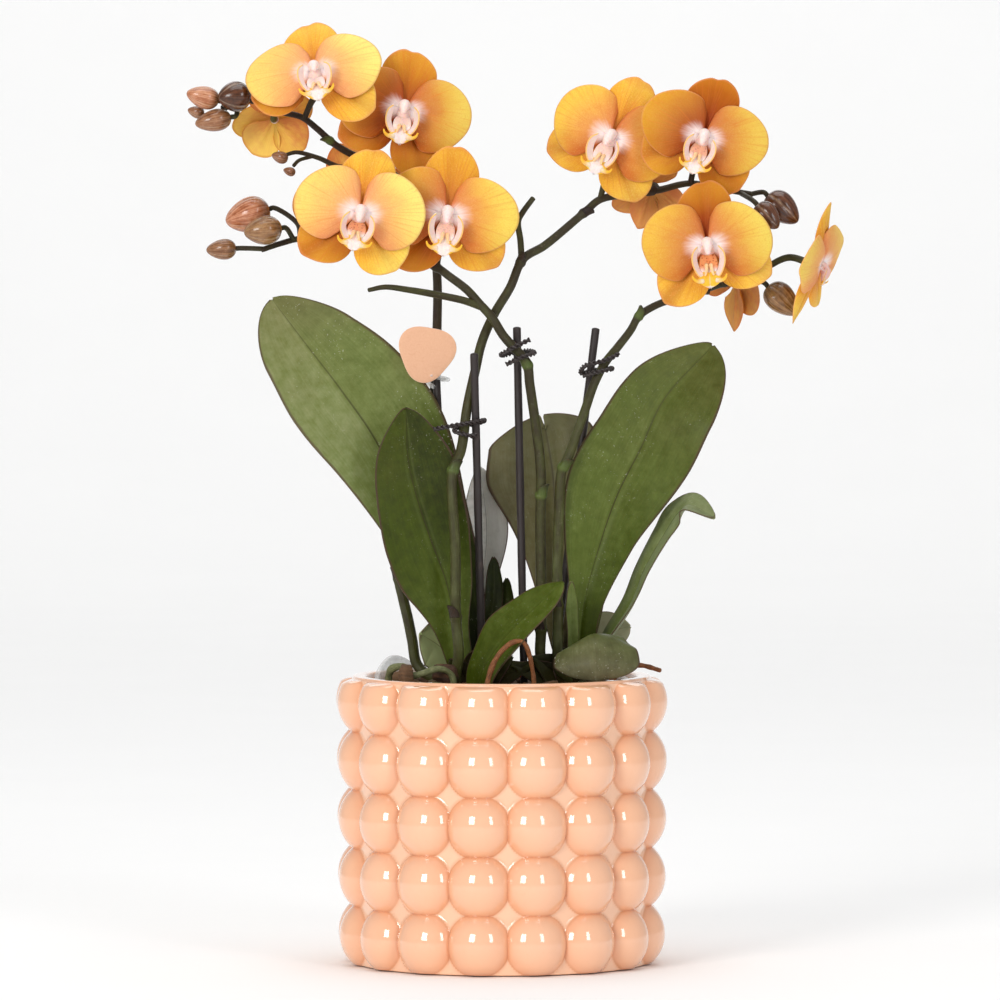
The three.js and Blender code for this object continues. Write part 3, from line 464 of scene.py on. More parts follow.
def wire_finish():
    """Dark plastic-coated wire."""
    m = Material("tie_wire")
    skin = m.noise(m.places(), 800, 3)
    colour = m.mix(skin, "0F0B0B", "3A2E2C")
    return m.finish(colour, m.step(skin, 0.3, 0.7, 0.3, 0.55), m.bump(skin, 0.05, 0.4))


def card_finish():
    """Peach card with paper fibre and a paler cut edge."""
    m = Material("tag_card")
    fibre = m.noise(m.places(), 1400, 5, 0.7)
    fleck = m.noise(m.places((1, 1, 2)), 420, 3)
    colour = m.mix(fibre, "DFA682", "F0C2A0")
    colour = m.mix(m.step(fleck, 0.6, 0.72, 0.0, 0.3), colour, "D79A76")
    colour = m.mix(m.step(m.attribute("edge"), 0.4, 0.9), colour, "F3D8C6")
    return m.finish(colour, m.step(fibre, 0.3, 0.7, 0.7, 0.9), m.bump(fibre, 0.06, 0.6))


def leaf_finish():
    """Mottled green with faint veins, a thin purple-brown rim and dusty specks; painted shade darkens the
    midrib groove with painted highlights beside it, the paleness is partly painted shade and the greyish
    tone partly a painted sheen.
    """
    m = Material("leaf_skin", {"Specular IOR Level": 0.14, "Subsurface Weight": 0.04,
                               "Subsurface Scale": 0.002})
    t, v, side = m.attribute("along"), m.attribute("across"), m.attribute("side")
    reach = abs(v)
    mottle = m.noise(m.places(), 240, 6, 0.65)
    cloud = m.noise(m.places(), 34, 3)
    veins = m.noise(m.surface(2.2, 30), 1.0, 4, 0.6)
    share = (mottle - 0.5) * 0.4
    share = share + (cloud - 0.5) * 0.1
    share = share + (veins - 0.5) * 0.16
    # pale is partly each leaf's own tone and partly painted shade
    share = m.math("ADD", share, m.attribute("pale"), clamp=True)
    colour = m.ramp(share, [(0.0, "151A04"), (0.2, "2A3305"), (0.4, "404C0D"), (0.6, "586528"),
                            (0.8, "758248"), (1.0, "969F6E")])
    warm = m.attribute("brown") + (cloud - 0.5) * 0.5
    earth = m.ramp(share, [(0.1, "231A0D"), (0.45, "4A4024"), (0.75, "6C6640"), (1.0, "8A8560")])
    colour = m.mix(m.step(warm, 0.15, 0.95), colour, earth)
    # partly a real dusty grey and partly a painted sheen: on leaf_5 it is a painted reflection, near the
    # tip of leaf_6 a painted sheen
    grey_sheen_colour = m.ramp(share, [(0.15, "5A5C4A"), (0.55, "8C8E7C"), (0.95, "F0EFE9")])
    colour = m.mix(m.attribute("grey"), colour, grey_sheen_colour)
    lower = m.mix(m.step(mottle, 0.3, 0.7) * 0.35, colour, "6E6A50")
    colour = m.mix(side, lower, colour)
    # painted shade and painted highlight: a dark line down the midrib groove with a lighter band on each
    # side of it, both as strong as the crease is deep
    line = m.step(reach, 0.0, 0.03, 1.0, 0.0) * m.step(t, 0.35, 0.95, 0.8, 0.45)
    line = line * m.attribute("rib")
    beside = m.step(abs(reach - 0.09), 0.0, 0.06, 0.07, 0.0) * m.attribute("rib")
    colour = m.mix(beside, colour, "8E9A5C")
    colour = m.mix(line, colour, "33281A")
    rim = m.step(reach + (mottle - 0.5) * 0.05, 0.94, 0.985)
    colour = m.mix(rim * 0.75, colour, "4E3630")
    specks = m.step(m.noise(m.places(), 1150, 3, 0.6), 0.64, 0.7)
    patches = m.step(m.noise(m.places(), 60, 3), 0.42, 0.62)
    dust = specks * patches * m.attribute("dusty")
    colour = m.mix(dust * 0.8, colour, "C6C7B4")
    grain = m.bump(mottle, 0.1, 0.5)
    return m.finish(colour, m.step(mottle, 0.3, 0.7, 0.36, 0.5) + dust * 0.3,
                    m.bump(veins, 0.12, 0.5, under=grain))


def tepal_finish(name, petal):
    """Velvety orange-yellow with a terracotta blush and fine veins; petals are white at the column. Painted
    shade darkens whole tepals and the middle channel of the lateral sepals, and painted light yellows their
    outer parts.
    """
    m = Material(name, {"Specular IOR Level": 0.15, "Subsurface Weight": 0.12, "Subsurface Scale": 0.002,
                        "Subsurface Radius": (1.0, 0.55, 0.2)})
    t, v, side, deep = (m.attribute(label) for label in ("along", "across", "side", "deep"))
    span = m.attribute("span")
    cloud = m.noise(m.surface(1.4, 1.6), 2.0, 3) - 0.5
    veins = m.noise(m.surface(1.2, 34), 1.0, 3, 0.6)
    fine = m.noise(m.places(), 1500, 2)
    place = span + cloud * 0.3
    if petal:
        stops = [(0.0, "EE9C60"), (0.3, "EFA25C"), (0.55, "F2B350"), (0.8, "F3BF42"), (1.0, "F2C038")]
    else:
        stops = [(0.0, "EBC0A2"), (0.15, "E38A46"), (0.4, "E99E34"), (0.65, "F1AF30"), (0.9, "F3BA3A"),
                 (1.0, "E69C38")]
    colour = m.ramp(place, stops)
    if petal:
        lower = v * -1.0 + cloud * 0.9
        lower = m.step(lower, 0.05, 0.95) * m.step(span, 0.65, 1.05, 1.0, 0.25)
        # deep, partly the tepal's own colour and partly painted shade, darkens the lower blush
        colour = m.mix(lower * 0.9, colour, m.mix(deep, "DC7038", "AE4410"))
        inner = m.step(v + cloud * 0.4, 0.45, 1.0)
        colour = m.mix(inner * 0.8, colour, "DE7A48")
    else:
        stripes = m.step(veins, 0.42, 0.66) * m.step(span, 0.25, 1.05, 0.55, 0.1)
        colour = m.mix(stripes, colour, "D07C2A")
        # painted shade: the middle channel of a sepal is darker, as much as the sepal is folded
        fold = m.step(abs(v), 0.03, 0.3, 1.0, 0.0) * m.attribute("folded")
        colour = m.mix(fold, colour, "B86C1C")
    drift = m.noise(m.surface(2.6, 2.2), 2.4, 4)
    colour = m.mix(m.step(drift, 0.45, 0.75, 0.0, 0.4), colour, "E8963E")
    # painted light, partly the tepal's own yellow: glow yellows the outer part, most on the right petals
    yellow = m.step(span + cloud * 0.25, 0.4, 0.95) * m.step(v, -0.75, -0.05)
    yellow = yellow * m.step(v, 0.45, 1.0, 1.0, 0.2)
    colour = m.mix(yellow * m.attribute("glow"), colour, "FAE66C")
    grain = m.noise(m.places(), 2200, 2)
    colour = m.mix(m.step(grain, 0.5, 0.75, 0.0, 0.22), colour, "FFE38C")
    colour = m.mix(m.step(grain, 0.28, 0.5, 0.25, 0.0), colour, "DC8534")
    if petal:
        colour = m.mix(m.attribute("rosy") * 0.35, colour, "FFDFB4")
    # painted shade, partly the tepal's own colour: deep darkens a whole tepal, most towards its base
    shade = deep * m.step(span, 0.2, 1.1, 1.0, 0.6)
    colour = m.mix(shade, colour, m.mix(m.step(place, 0.2, 1.0), "923404", "B8660A"))
    colour = m.mix(m.step(veins, 0.5, 0.7, 0.0, 0.3), colour, "D9762E")
    rim = m.step(t, 0.955, 1.0, 0.0, 0.4)
    colour = m.mix(rim, colour, "EFA070")
    if petal:
        soft = (m.noise(m.surface(3, 9), 1.5, 3) - 0.5) * 0.35
        far = span * 2.75 + abs(v) ** 2.0 * 0.6
        white = m.step(far + soft, 0.35, 1.1, 0.97, 0.0)
        colour = m.mix(white, colour, "FBEDEB")
    warm = v * 0.4 + drift * 0.9
    back = m.mix(m.step(warm, 0.2, 0.8), "F2BE56", "E38E4E")
    back = m.mix(m.step(veins, 0.45, 0.7, 0.0, 0.3), back, "C9703A")
    # painted light, partly the tepal's own yellow: glow yellows the back as well
    back = m.mix(m.attribute("glow") * m.step(place, 0.1, 0.8), back, "FFE070")
    back = m.mix(m.step(t, 0.93, 0.99, 0.0, 0.5), back, "C8632C")
    back = m.mix(m.attribute("rosy") * m.step(veins, 0.3, 0.7, 0.5, 0.9), back, "D79B80")
    # painted shade, partly the tepal's own colour: deep darkens the back as well
    back = m.mix(deep * 0.75, back, m.mix(m.step(v, -0.4, 0.4), "963A10", "C27420"))
    colour = m.mix(side, back, colour)
    normal = m.bump(fine, 0.03, 0.5, under=m.bump(veins, 0.14, 0.6))
    return m.finish(colour, m.step(fine, 0.3, 0.7, 0.45, 0.65), normal)


def lip_finish():
    """White to cream flesh that turns yellow at its outer rim and spotted orange-red in its throat."""
    m = Material("lip_flesh", {"Specular IOR Level": 0.3, "Subsurface Weight": 0.25,
                               "Subsurface Scale": 0.0015})
    fine = m.noise(m.places(), 1300, 3)
    spots = m.step(m.cells(m.places(), 1100), 0.25, 0.42, 1.0, 0.0)
    colour = m.mix(fine, "F0D3CA", "F9EDE8")
    colour = m.mix(m.step(m.attribute("pink"), 0.1, 0.9, 0.0, 0.7), colour, "E4A898")
    colour = m.mix(m.step(m.attribute("yellow"), 0.25, 0.8), colour, m.mix(fine, "EFA91C", "FBCB44"))
    throat = m.step(m.attribute("throat"), 0.2, 0.8)
    colour = m.mix(throat, colour, m.mix(spots * 0.7, "E2925A", "AC4218"))
    return m.finish(colour, m.step(fine, 0.3, 0.7, 0.32, 0.5), m.bump(fine, 0.04, 0.5))


def bud_finish():
    """Waxy pink-brown to olive skin with pale lengthwise streaks, partly veins and partly painted
    highlight, dark at the base, and paler seams.
    """
    m = Material("bud_skin", {"Subsurface Weight": 0.05, "Subsurface Scale": 0.0015, "Coat Weight": 0.5,
                              "Coat Roughness": 0.11, "Specular IOR Level": 0.3})
    t, seam, dark = m.attribute("along"), m.attribute("seam"), m.attribute("deep")
    veins = m.noise(m.skin(8, 7), 1.0, 4, 0.65)
    mottle = m.noise(m.places(), 420, 5, 0.6)
    share = veins * 0.65 + mottle * 0.3
    # the palest lengthwise streaks are partly vein colour and partly painted highlight
    colour = m.ramp(share, [(0.28, "5E2A12"), (0.42, "AC6640"), (0.58, "DCA280"), (0.76, "F5DAC8")])
    colour = m.mix(m.step(t, 0.0, 0.45, 0.75, 0.0), colour, "5A3A1C")
    colour = m.mix(m.attribute("olive"), colour, m.mix(m.step(share, 0.3, 0.68), "4A3210", "B08C54"))
    colour = m.mix(dark, colour, m.mix(m.step(share, 0.32, 0.7), "1A0A02", "5E2E0C"))
    colour = m.mix(seam * m.step(mottle, 0.3, 0.6, 0.1, 0.35), colour, "D4B898")
    return m.finish(colour, m.step(mottle, 0.3, 0.7, 0.17, 0.28), m.bump(veins, 0.1, 0.6))


GLAZE = ceramic()
CLEAR = clear_plastic()
BARK = bark_finish()
BROWN_ROOT = root_finish("brown_root", "3E2211", "A4632F")
GREEN_ROOT = root_finish("green_root", "4B5430", "8C8E62")
STEM = stem_finish()
STICK = stick_finish()
WIRE = wire_finish()
CARD = card_finish()
LEAF = leaf_finish()
PETAL = tepal_finish("petal_skin", True)
SEPAL = tepal_finish("sepal_skin", False)
LIP = lip_finish()
BUD = bud_finish()


# Cachepot

CACHEPOT = {
    "height": 107, "beads": 16, "rows": 5, "first_row": 11.4, "row_pitch": 21.55, "bead_turn": 13.6,
    "wall_radius": 55, "foot_radius": 50.8, "rim_radius": 54.8, "inner_top": 50.2, "inner_bottom": 46,
    "inner_edge": 106, "floor": 12, "bead_top": 106.0, "steps_per_bead": 26, "steps_per_row": 26,
}
BEAD = {
    "half_pitch": 10.8, "reach": 12.0, "ball": 13.4, "base": 11.6, "softness": 0.25, "top_round": 1.6,
    "seam_width": 0.45, "seam_from": 0.6,
}
# How far each ring of the rim stands out from the rim's radius, and its height
RIM = [
    (0.4, 106.25), (0.35, 106.7), (0.0, 106.95), (-0.6, 107.0), (-3.4, 107.0), (-4.2, 106.8), (-4.6, 106.2),
]


def cachepot():
    """A wall of sixteen by five round beads that run into one another, under a narrow smooth rim."""
    p = CACHEPOT
    cluster_u = np.sin(np.linspace(-0.5, 0.5, p["steps_per_bead"], endpoint=False) * math.pi)
    cluster_v = np.sin(np.linspace(-0.5, 0.5, p["steps_per_row"], endpoint=False) * math.pi)
    turns = np.radians([((bead + u / 2) / p["beads"]) * 360 + p["bead_turn"] - 90
                        for bead in range(p["beads"]) for u in cluster_u])
    beside = np.tile(cluster_u, p["beads"]) * BEAD["half_pitch"]
    sunk = math.sqrt(BEAD["ball"] ** 2 - BEAD["base"] ** 2)
    rings, rises, seams = [], [], []

    def add_ring(radius, z, rise, seam=0.0):
        rings.append(circle(radius, z, turns))
        rises.append(np.broadcast_to(rise, turns.shape))
        seams.append(np.broadcast_to(seam, turns.shape))

    def bead_face(z, middle):
        away = z - middle
        out = (beside ** 2 + away ** 2) / BEAD["reach"] ** 2
        cap = np.sqrt(np.maximum(BEAD["ball"] ** 2 - BEAD["base"] ** 2 * out, 0.5)) - sunk
        rise = 0.5 * (cap + np.sqrt(cap ** 2 + BEAD["softness"] ** 2))
        under_rim = max(0.0, z - p["bead_top"] + BEAD["top_round"]) / BEAD["top_round"]
        rise = rise * math.sqrt(max(0.0, 1 - under_rim ** 2 * 0.96))
        edge = np.minimum(BEAD["half_pitch"] - np.abs(beside), 0.5 * p["row_pitch"] - abs(away))
        seam = np.exp(-(edge / BEAD["seam_width"]) ** 2) * (rise > BEAD["seam_from"])
        add_ring(p["wall_radius"] - 0.6 + z / p["height"] + rise, z, rise / (BEAD["ball"] - sunk), seam)

    add_ring(p["foot_radius"], 0, 0.1)
    add_ring(p["foot_radius"] + 1.6, 0.15, 0.1)
    for row in range(p["rows"]):
        middle = p["first_row"] + row * p["row_pitch"]
        upper = p["bead_top"] - middle if row == p["rows"] - 1 else p["row_pitch"] / 2
        for v in cluster_v:
            bead_face(middle + v * (upper if v > 0 else p["row_pitch"] / 2), middle)
    bead_face(p["bead_top"], middle)
    for offset, z in RIM:
        add_ring(p["rim_radius"] + offset, z, 0.5)
    for share in (0.02, 0.1, 0.5, 0.95, 1.0):
        radius = p["inner_top"] + (p["inner_bottom"] - p["inner_top"]) * share - (3 if share == 1 else 0)
        add_ring(radius, p["inner_edge"] + (p["floor"] - p["inner_edge"]) * share, 0.4)
    add_ring(1.0, p["floor"], 0.4)
    return [tube(np.array(rings), GLAZE, rise=np.array(rises).ravel(), seam=np.array(seams).ravel())]


# Nursery pot, bark and roots

NURSERY = {
    "bottom_radius": 34, "top_radius": 46, "lip": 1.2, "height": 94, "wall": 0.9, "base": 12.3,
    "buckle": 6.8, "buckle_angle": 152, "buckle_width": 19, "turns": 180,
}


def nursery_pot():
    """A thin clear pot whose rim is pushed up on the left at the back."""
    p = NURSERY
    top, high = p["top_radius"], p["height"]
    foot, lip, inner = p["bottom_radius"], top + p["lip"], top - p["wall"]
    profile = [
        (0.5, 0), (foot - 1, 0), (foot, 1), (top - 3, high - 24), (top, high - 4), (lip, high - 3.2),
        (lip, high - 0.5), (lip - 0.5, high), (inner + 0.4, high), (inner, high - 0.5), (inner, high - 4),
        (inner - 3, high - 24), (foot - p["wall"], 1.6), (0.5, p["wall"]),
    ]
    turns = full_turn(p["turns"])
    away = (np.degrees(turns) - p["buckle_angle"] + 180) % 360 - 180
    lift = p["buckle"] * np.exp(-(away / p["buckle_width"]) ** 2) + 0.35 * np.sin(3 * turns) - 0.35
    rings = []
    for radius, z in profile:
        share = np.clip((z - high + 12) / 9, 0, 1) ** 2
        dent = 1 - 0.012 * share * np.exp(-(away / p["buckle_width"]) ** 2)
        rings.append(circle(radius * dent, p["base"] + z + share * lift, turns))
    return [tube(np.array(rings), CLEAR)]


def lump(middle, half, turn, tint, tilt=(0.0, 0.0), detail=3):
    """A broken piece of bark: a boxy body with a rough, faceted surface."""
    ball = bmesh.new()
    bmesh.ops.create_icosphere(ball, subdivisions=detail, radius=1)
    directions = np.array([vertex.co[:] for vertex in ball.verts])
    faces = [tuple(vertex.index for vertex in face.verts) for face in ball.faces]
    ball.free()
    boxy = np.sign(directions) * np.abs(directions) ** 0.62
    offset = Vector((draw.uniform(0, 50), draw.uniform(0, 50), draw.uniform(0, 50)))
    rough = np.array([noise.fractal(Vector(d) * 1.7 + offset, 0.8, 2.1, 4) for d in directions])
    body = boxy * np.array(half) * (1 + 0.22 * rough[:, None])
    rotation = Matrix.Rotation(math.radians(turn), 3, "Z") @ Matrix.Rotation(tilt[0], 3, "X")
    rotation = np.array(rotation @ Matrix.Rotation(tilt[1], 3, "Y"))
    return Part(body @ rotation.T + np.array(middle), faces, BARK, tint=tint)


# Middle, half sizes, turn in degrees and tint of each loose chip
CHIPS = {
    "bark_chip_1": ((-35, -24, 108.4), (2.6, 2.2, 3.8), 30, 0.6),
    "bark_chip_2": ((-20.6, -12, 108.4), (4.8, 3, 3.4), -20, 0.0),
    "bark_chip_3": ((-37, 4, 105.3), (4, 3.4, 3), 70, 0.8),
    "bark_chip_4": ((12, 30, 105), (6, 4, 2.6), 15, 0.4),
}
BED = {
    "top": 101.4, "radius": 43.6, "shoulder": 97, "bottom": 14.4, "bottom_radius": 32.6, "rows": 34,
    "turns": 120, "chips": 130, "chip_reach": 40.5, "chip_heights": (101.6, 103.6), "roots": 9,
    "root_height": 104.4, "root_dip": 3.4, "root_steps": 7,
}


def potting_bark():
    """The bark bed: an uneven body with loose chips, and roots that creep over it."""
    turns = full_turn(BED["turns"])
    rings = [circle(0.5, BED["bottom"], turns), circle(BED["bottom_radius"], BED["bottom"], turns),
             circle(BED["radius"] - 0.6, BED["shoulder"], turns)]
    for radius in np.linspace(BED["radius"], 0.4, BED["rows"]):
        level = circle(radius, 0, turns)
        bumps = [noise.fractal(Vector((x * 0.16, y * 0.16, 3)), 0.7, 2.0, 4) for x, y, _ in level]
        rings.append(circle(radius, BED["top"] - 1 + 1.5 * np.array(bumps), turns))
    parts = [tube(np.array(rings), BARK, tint=0.2)]
    for _ in range(BED["chips"]):
        reach, angle = BED["chip_reach"] * math.sqrt(draw.random()), draw.uniform(0, 2 * math.pi)
        half = (draw.uniform(2.6, 6), draw.uniform(1.8, 3.6), draw.uniform(0.9, 2))
        middle = (reach * math.cos(angle), reach * math.sin(angle), draw.uniform(*BED["chip_heights"]))
        tilt = (draw.uniform(-0.4, 0.4), draw.uniform(-0.4, 0.4))
        parts.append(lump(middle, half, draw.uniform(0, 360), draw.random(), tilt, detail=2))
    half_way = BED["root_steps"] // 2
    for index in range(BED["roots"]):
        start = draw.uniform(0, 2 * math.pi)
        reach = draw.uniform(18, 38)
        path = []
        for step in range(BED["root_steps"]):
            angle = start + step * 0.17
            wander = reach + draw.uniform(-2.5, 2.5)
            height = BED["root_height"] - BED["root_dip"] * (abs(step - half_way) / half_way) ** 2
            path.append((wander * math.cos(angle), wander * math.sin(angle), height))
        thick = draw.uniform(1.1, 1.7)
        parts.append(rod(path, lambda t: thick * (1 - 0.25 * t) + 0.12 * np.sin(t * 23 + start),
                         (GREEN_ROOT, BROWN_ROOT)[index % 2], sides=12, seed=start))
    return parts


ROOTS = {
    "aerial_root_front": {
        "radius": 1.1, "material": BROWN_ROOT,
        "path": [
            (-5.4, -37.5, 99), (-5, -37.5, 107), (-1.5, -37, 116), (4, -35, 121), (8, -33.5, 121),
            (11.5, -31, 110), (12, -30, 99),
        ],
    },
    "aerial_root_right": {
        "radius": 1.2, "material": BROWN_ROOT,
        "path": [(38, -4, 99), (42, -4.5, 106.5), (47, -5, 110.5), (52, -5, 110.8), (58.8, -6, 109)],
    },
    "aerial_root_left": {
        "radius": 1.5, "material": GREEN_ROOT,
        "path": [
            (-41.2, -9, 99), (-41.8, -9.5, 105), (-40.6, -12.5, 109.8), (-36, -16, 111), (-33, -20, 108),
            (-28.5, -21, 109), (-23, -19, 110.4), (-18.5, -16, 108), (-17, -14.5, 99),
        ],
    },
}


def aerial_root(radius, material, path):
    """A root that thins towards its end, with slight swellings."""
    def thickness(t):
        return radius * (1 - 0.3 * t) * (1 + 0.07 * np.sin(t * 31) + 0.05 * np.sin(t * 53 + 1))
    return [rod(path, thickness, material, sides=18, spacing=0.5, seed=radius)]


# Crowns, sticks and spikes

CROWNS = {
    "crown_left": [(-13, 0, 94), (-13, 0, 104), (-12.5, 0.5, 113)],
    "crown_right": [(28.5, 0, 94), (28.5, 0, 104), (29, 0.5, 113)],
}
# Old leaf sheaths round a crown, kept dark partly as fill for the shade round the crowns: how far each
# leans towards the middle, how tall it is and its half-width
SHEATHS = [(9, 15, 5.5), (17, 11, 6), (25, 8, 5), (-6, 10, 5)]
SHEATH_FOOT = 103


def crown(path):
    """A short stem of stacked old leaf sheaths, kept dark partly to fill the shade round the crowns."""
    def thickness(t):
        return 5.5 - 1.5 * t + 0.35 * np.abs(np.sin(t * 16))
    parts = [rod(path, thickness, LEAF, sides=30, spacing=0.4, side=1.0, pale=0.4, dusty=0.6,
                 brown=lambda t: 0.9 - 0.4 * t)]
    x, y, _ = path[0]
    for lean, height, half in SHEATHS:
        turned = lean * (1 if x < 0 else -1)
        spine = [
            (x + 0.15 * turned, y - 4.4, SHEATH_FOOT, half, half),
            (x + 0.5 * turned, y - 5.4, SHEATH_FOOT + 0.55 * height, half, half),
            (x + turned, y - 5.8, SHEATH_FOOT + height, 0.5 * half, 0.5 * half),
        ]
        face = ((0, -1, 0.1), (0, -1, 0.2))
        parts += leaf(spine, face, pale=(0.25, 0.15), brown=(0.9, 0.5), dusty=(0.2, 0.2))
    return parts


STICK_RADIUS = 1.45
STICKS = {
    "support_stick_1": [(-17.3, 10, 60), (-24.7, 16, 229)],
    "support_stick_2": [(-6, 9.5, 60), (-10.1, -12, 226)],
    "support_stick_3": [(9.3, 6, 60), (5.7, -3, 235.5)],
    "support_stick_4": [(13.5, 11, 60), (34.9, 2.5, 235)],
}


def stick(path):
    """A split stick, round with a slightly uneven skin."""
    def thickness(t):
        return STICK_RADIUS * (1 + 0.03 * np.sin(t * 40))
    return [rod(path, thickness, STICK, sides=20, spacing=1.5, rounded=0.4)]


SPIKE_RADIUS = 2
PEDICEL = {"radius": 1.1, "swell": 0.3, "ends_behind": 3.2, "runs_straight": 9.0}
STALK_RADIUS = 0.95
SPIKES = {
    "flower_spike_1": {
        "end": 0.9,
        "stem": [
            (-17, 3, 105.5), (-26, 11, 105.5), (-31.4, 13.8, 110), (-33.2, 14.3, 118.9),
            (-34.7, 14.7, 126.4), (-36.6, 15.6, 134.5), (-38.2, 17, 143), (-34.8, 20, 171), (-29, 21, 193),
            (-25, 21, 212), (-24, 20, 235), (-24, 19, 255), (-26, 16, 270), (-32.5, 13, 285),
            (-43.5, 11, 294.5), (-56, 9, 300), (-62.5, 8, 304), (-68, 6.5, 309), (-74, 5, 313.5),
            (-82, 3.5, 315.5), (-93, 2, 319.5), (-98, 3, 317.5), (-103.5, 3, 317),
        ],
        "branches": [
            (
                (1, 0.7),
                [(-49.5, 10, 297.5), (-59, 9, 295), (-68, 7, 298.5), (-76, 5, 300.5), (-80, 4, 299.5)],
            ),
            ((0.7, 0.7), [(-70, 6.5, 299), (-75, 5, 297.5), (-77, 4, 295.5)]),
            ((0.8, 0.6), [(-101.5, 3, 317), (-104.5, 3.8, 315), (-107, 3.8, 313.8), (-112, 2, 315)]),
        ],
        "tiny_buds": [
            (-82, 3, 298.8, 3), (-78.5, 3.5, 293.5, 2.2), (-113, 2, 315.5, 3), (-107, 3.8, 313.8, 1.8),
        ],
        "nodes": [(142, 0.3), (296, 0.6), (305, 1.0), (317.5, 0.4)], "ripe": (0.25, 0.8),
    },
    "flower_spike_2": {
        "end": 1,
        "stem": [
            (-16.5, -3.5, 105.5), (-17, -9.5, 106.5), (-15.8, -13, 116), (-16.8, -14, 129), (-17, -15, 155),
            (-18, -13, 183), (-15, -11, 190.5), (-12.7, -7.5, 206), (-9.8, -5.5, 219.5), (-7.2, -3, 230.5),
            (-2.8, 0, 240.5), (3.2, 2, 250.5), (8, 4, 261), (16, 5, 266), (31, 6, 278.5), (36.5, 7, 283),
            (47, 8, 285), (58, 8, 286.5), (70, 8, 289), (83.5, 7, 286.5), (93, 6, 285),
        ],
        "branches": [
            ((1.2, 1), [(7.5, 4, 260), (7, 3, 268), (6.2, 3, 275), (8, 3, 278.5), (11.7, 3, 283.5)]),
        ],
        "tiny_buds": [], "nodes": [(129, 0.2), (183, 0.9), (260, 0.4), (278, 0.1), (286, 0.0)],
        "ripe": (0.2, 0.6),
    },
    "flower_spike_3": {
        "end": 1,
        "stem": [
            (24, -1, 105.5), (17, -2, 107), (14.5, -2.5, 114), (14.6, -3, 123.5), (14.6, -4, 142.5),
            (14.4, -5, 164.5), (14.6, -6, 176), (14.5, -6, 183), (13.9, -6, 190.5), (12.4, -7, 201.5),
            (10.5, -8, 214.5), (9.2, -8.5, 223), (4, -8, 229), (0.6, -7.5, 233), (-3.5, -7, 239.5),
            (-8, -6, 244.5), (-12.7, -5, 249.7), (-19, -3, 254.5), (-24, -1, 258), (-34, 2, 262),
            (-45, 4, 265), (-60, 4, 267), (-74.5, 2, 268.5), (-81, 0, 267), (-88.5, -2, 264.5),
        ],
        "branches": [
            (
                (1.4, 0.8),
                [
                    (-7.5, -6, 243.5), (-13.5, -7, 245.7), (-19, -8, 247), (-33.7, -9, 249.7),
                    (-43, -9, 250.8), (-49, -9, 249.7),
                ],
            ),
        ],
        "tiny_buds": [], "nodes": [(124, 0.2), (174, 1.0), (222, 0.9), (258, 0.3), (265, 0.1), (268, 0.2)],
        "ripe": (0.3, 0.55),
    },
    "flower_spike_4": {
        "end": 1,
        "stem": [
            (25.5, -3.5, 105.5), (21.6, -6.5, 110), (20.9, -7, 132), (20.6, -7, 146), (21.3, -7, 168.5),
            (22.3, -7, 183), (24.2, -7, 187), (27.4, -6, 195.5), (31, -5, 205.7), (34.3, -3, 215),
            (38.2, -2, 222.5), (43, -1, 228.5), (47.8, 1, 234.7), (51, 2, 240), (57, 3, 243.8),
            (63, 4, 246), (73.5, 5, 249), (84.7, 5, 252.5), (92, 4, 253.5),
        ],
        "branches": [], "tiny_buds": [],
        "nodes": [(133, 0.2), (184, 1.0), (240, 1.0), (249, 0.2), (252, 0.1)], "ripe": (0.15, 0.5),
    },
}
BUDS = {
    "bud_1": {
        "base": (-104.5, 0, 319.5), "tip": (-116, -4, 322.5), "radius": 4.7, "deep": 0.0, "olive": 0.1,
        "stalk": [(-102, 3, 317), (-103.5, 1.5, 319)], "spike": "flower_spike_1",
    },
    "bud_2": {
        "base": (-100, -1, 313.5), "tip": (-113, -4, 311), "radius": 4.6, "deep": 0.3, "olive": 0.4,
        "stalk": [(-97.5, 3, 317.5), (-98, 1, 314)], "spike": "flower_spike_1",
    },
    "bud_3": {
        "base": (-93.5, -1, 321.5), "tip": (-103.8, -8, 320.6), "radius": 6.3, "deep": 0.95, "olive": 0.1,
        "stalk": [(-92, 2.5, 319), (-92, 1.5, 320.5)], "spike": "flower_spike_1",
    },
    "bud_4": {
        "base": (-86, 4, 279.5), "tip": (-101.8, 0, 275), "radius": 7.5, "deep": 0.0, "olive": 0.0,
        "stalk": [(-74.5, 2, 268.5), (-75.5, 4, 274), (-80, 5, 279)], "spike": "flower_spike_3",
    },
    "bud_5": {
        "base": (-81.5, -5.5, 272.5), "tip": (-94.6, -11, 271), "radius": 6, "deep": 0.2, "olive": 0.7,
        "stalk": [(-77, 1, 268.5), (-78, -3, 271)], "spike": "flower_spike_3",
    },
    "bud_6": {
        "base": (-98, -2.5, 265), "tip": (-109, -4, 264.5), "radius": 4.3, "deep": 0.4, "olive": 0.5,
        "stalk": [(-87, -1.7, 264.8), (-93, -2, 265)], "spike": "flower_spike_3",
    },
    "bud_7": {
        "base": (98.5, 5, 284.5), "tip": (109.5, 2, 274.5), "radius": 6.2, "deep": 0.9, "olive": 0.0,
        "stalk": [(92, 6, 285), (95.5, 5.5, 285.5)], "spike": "flower_spike_2",
    },
    "bud_8": {
        "base": (94.5, -4, 281), "tip": (102, -8.5, 272.5), "radius": 5, "deep": 0.9, "olive": 0.0,
        "stalk": [(88.5, 6.5, 285.5), (92, 3, 284.5)], "spike": "flower_spike_2",
    },
    "bud_9": {
        "base": (98.5, 2, 251), "tip": (109.2, 0, 240.5), "radius": 6.1, "deep": 0.2, "olive": 0.8,
        "stalk": [(91, 4, 253.5), (95.5, 3, 253)], "spike": "flower_spike_4",
    },
}
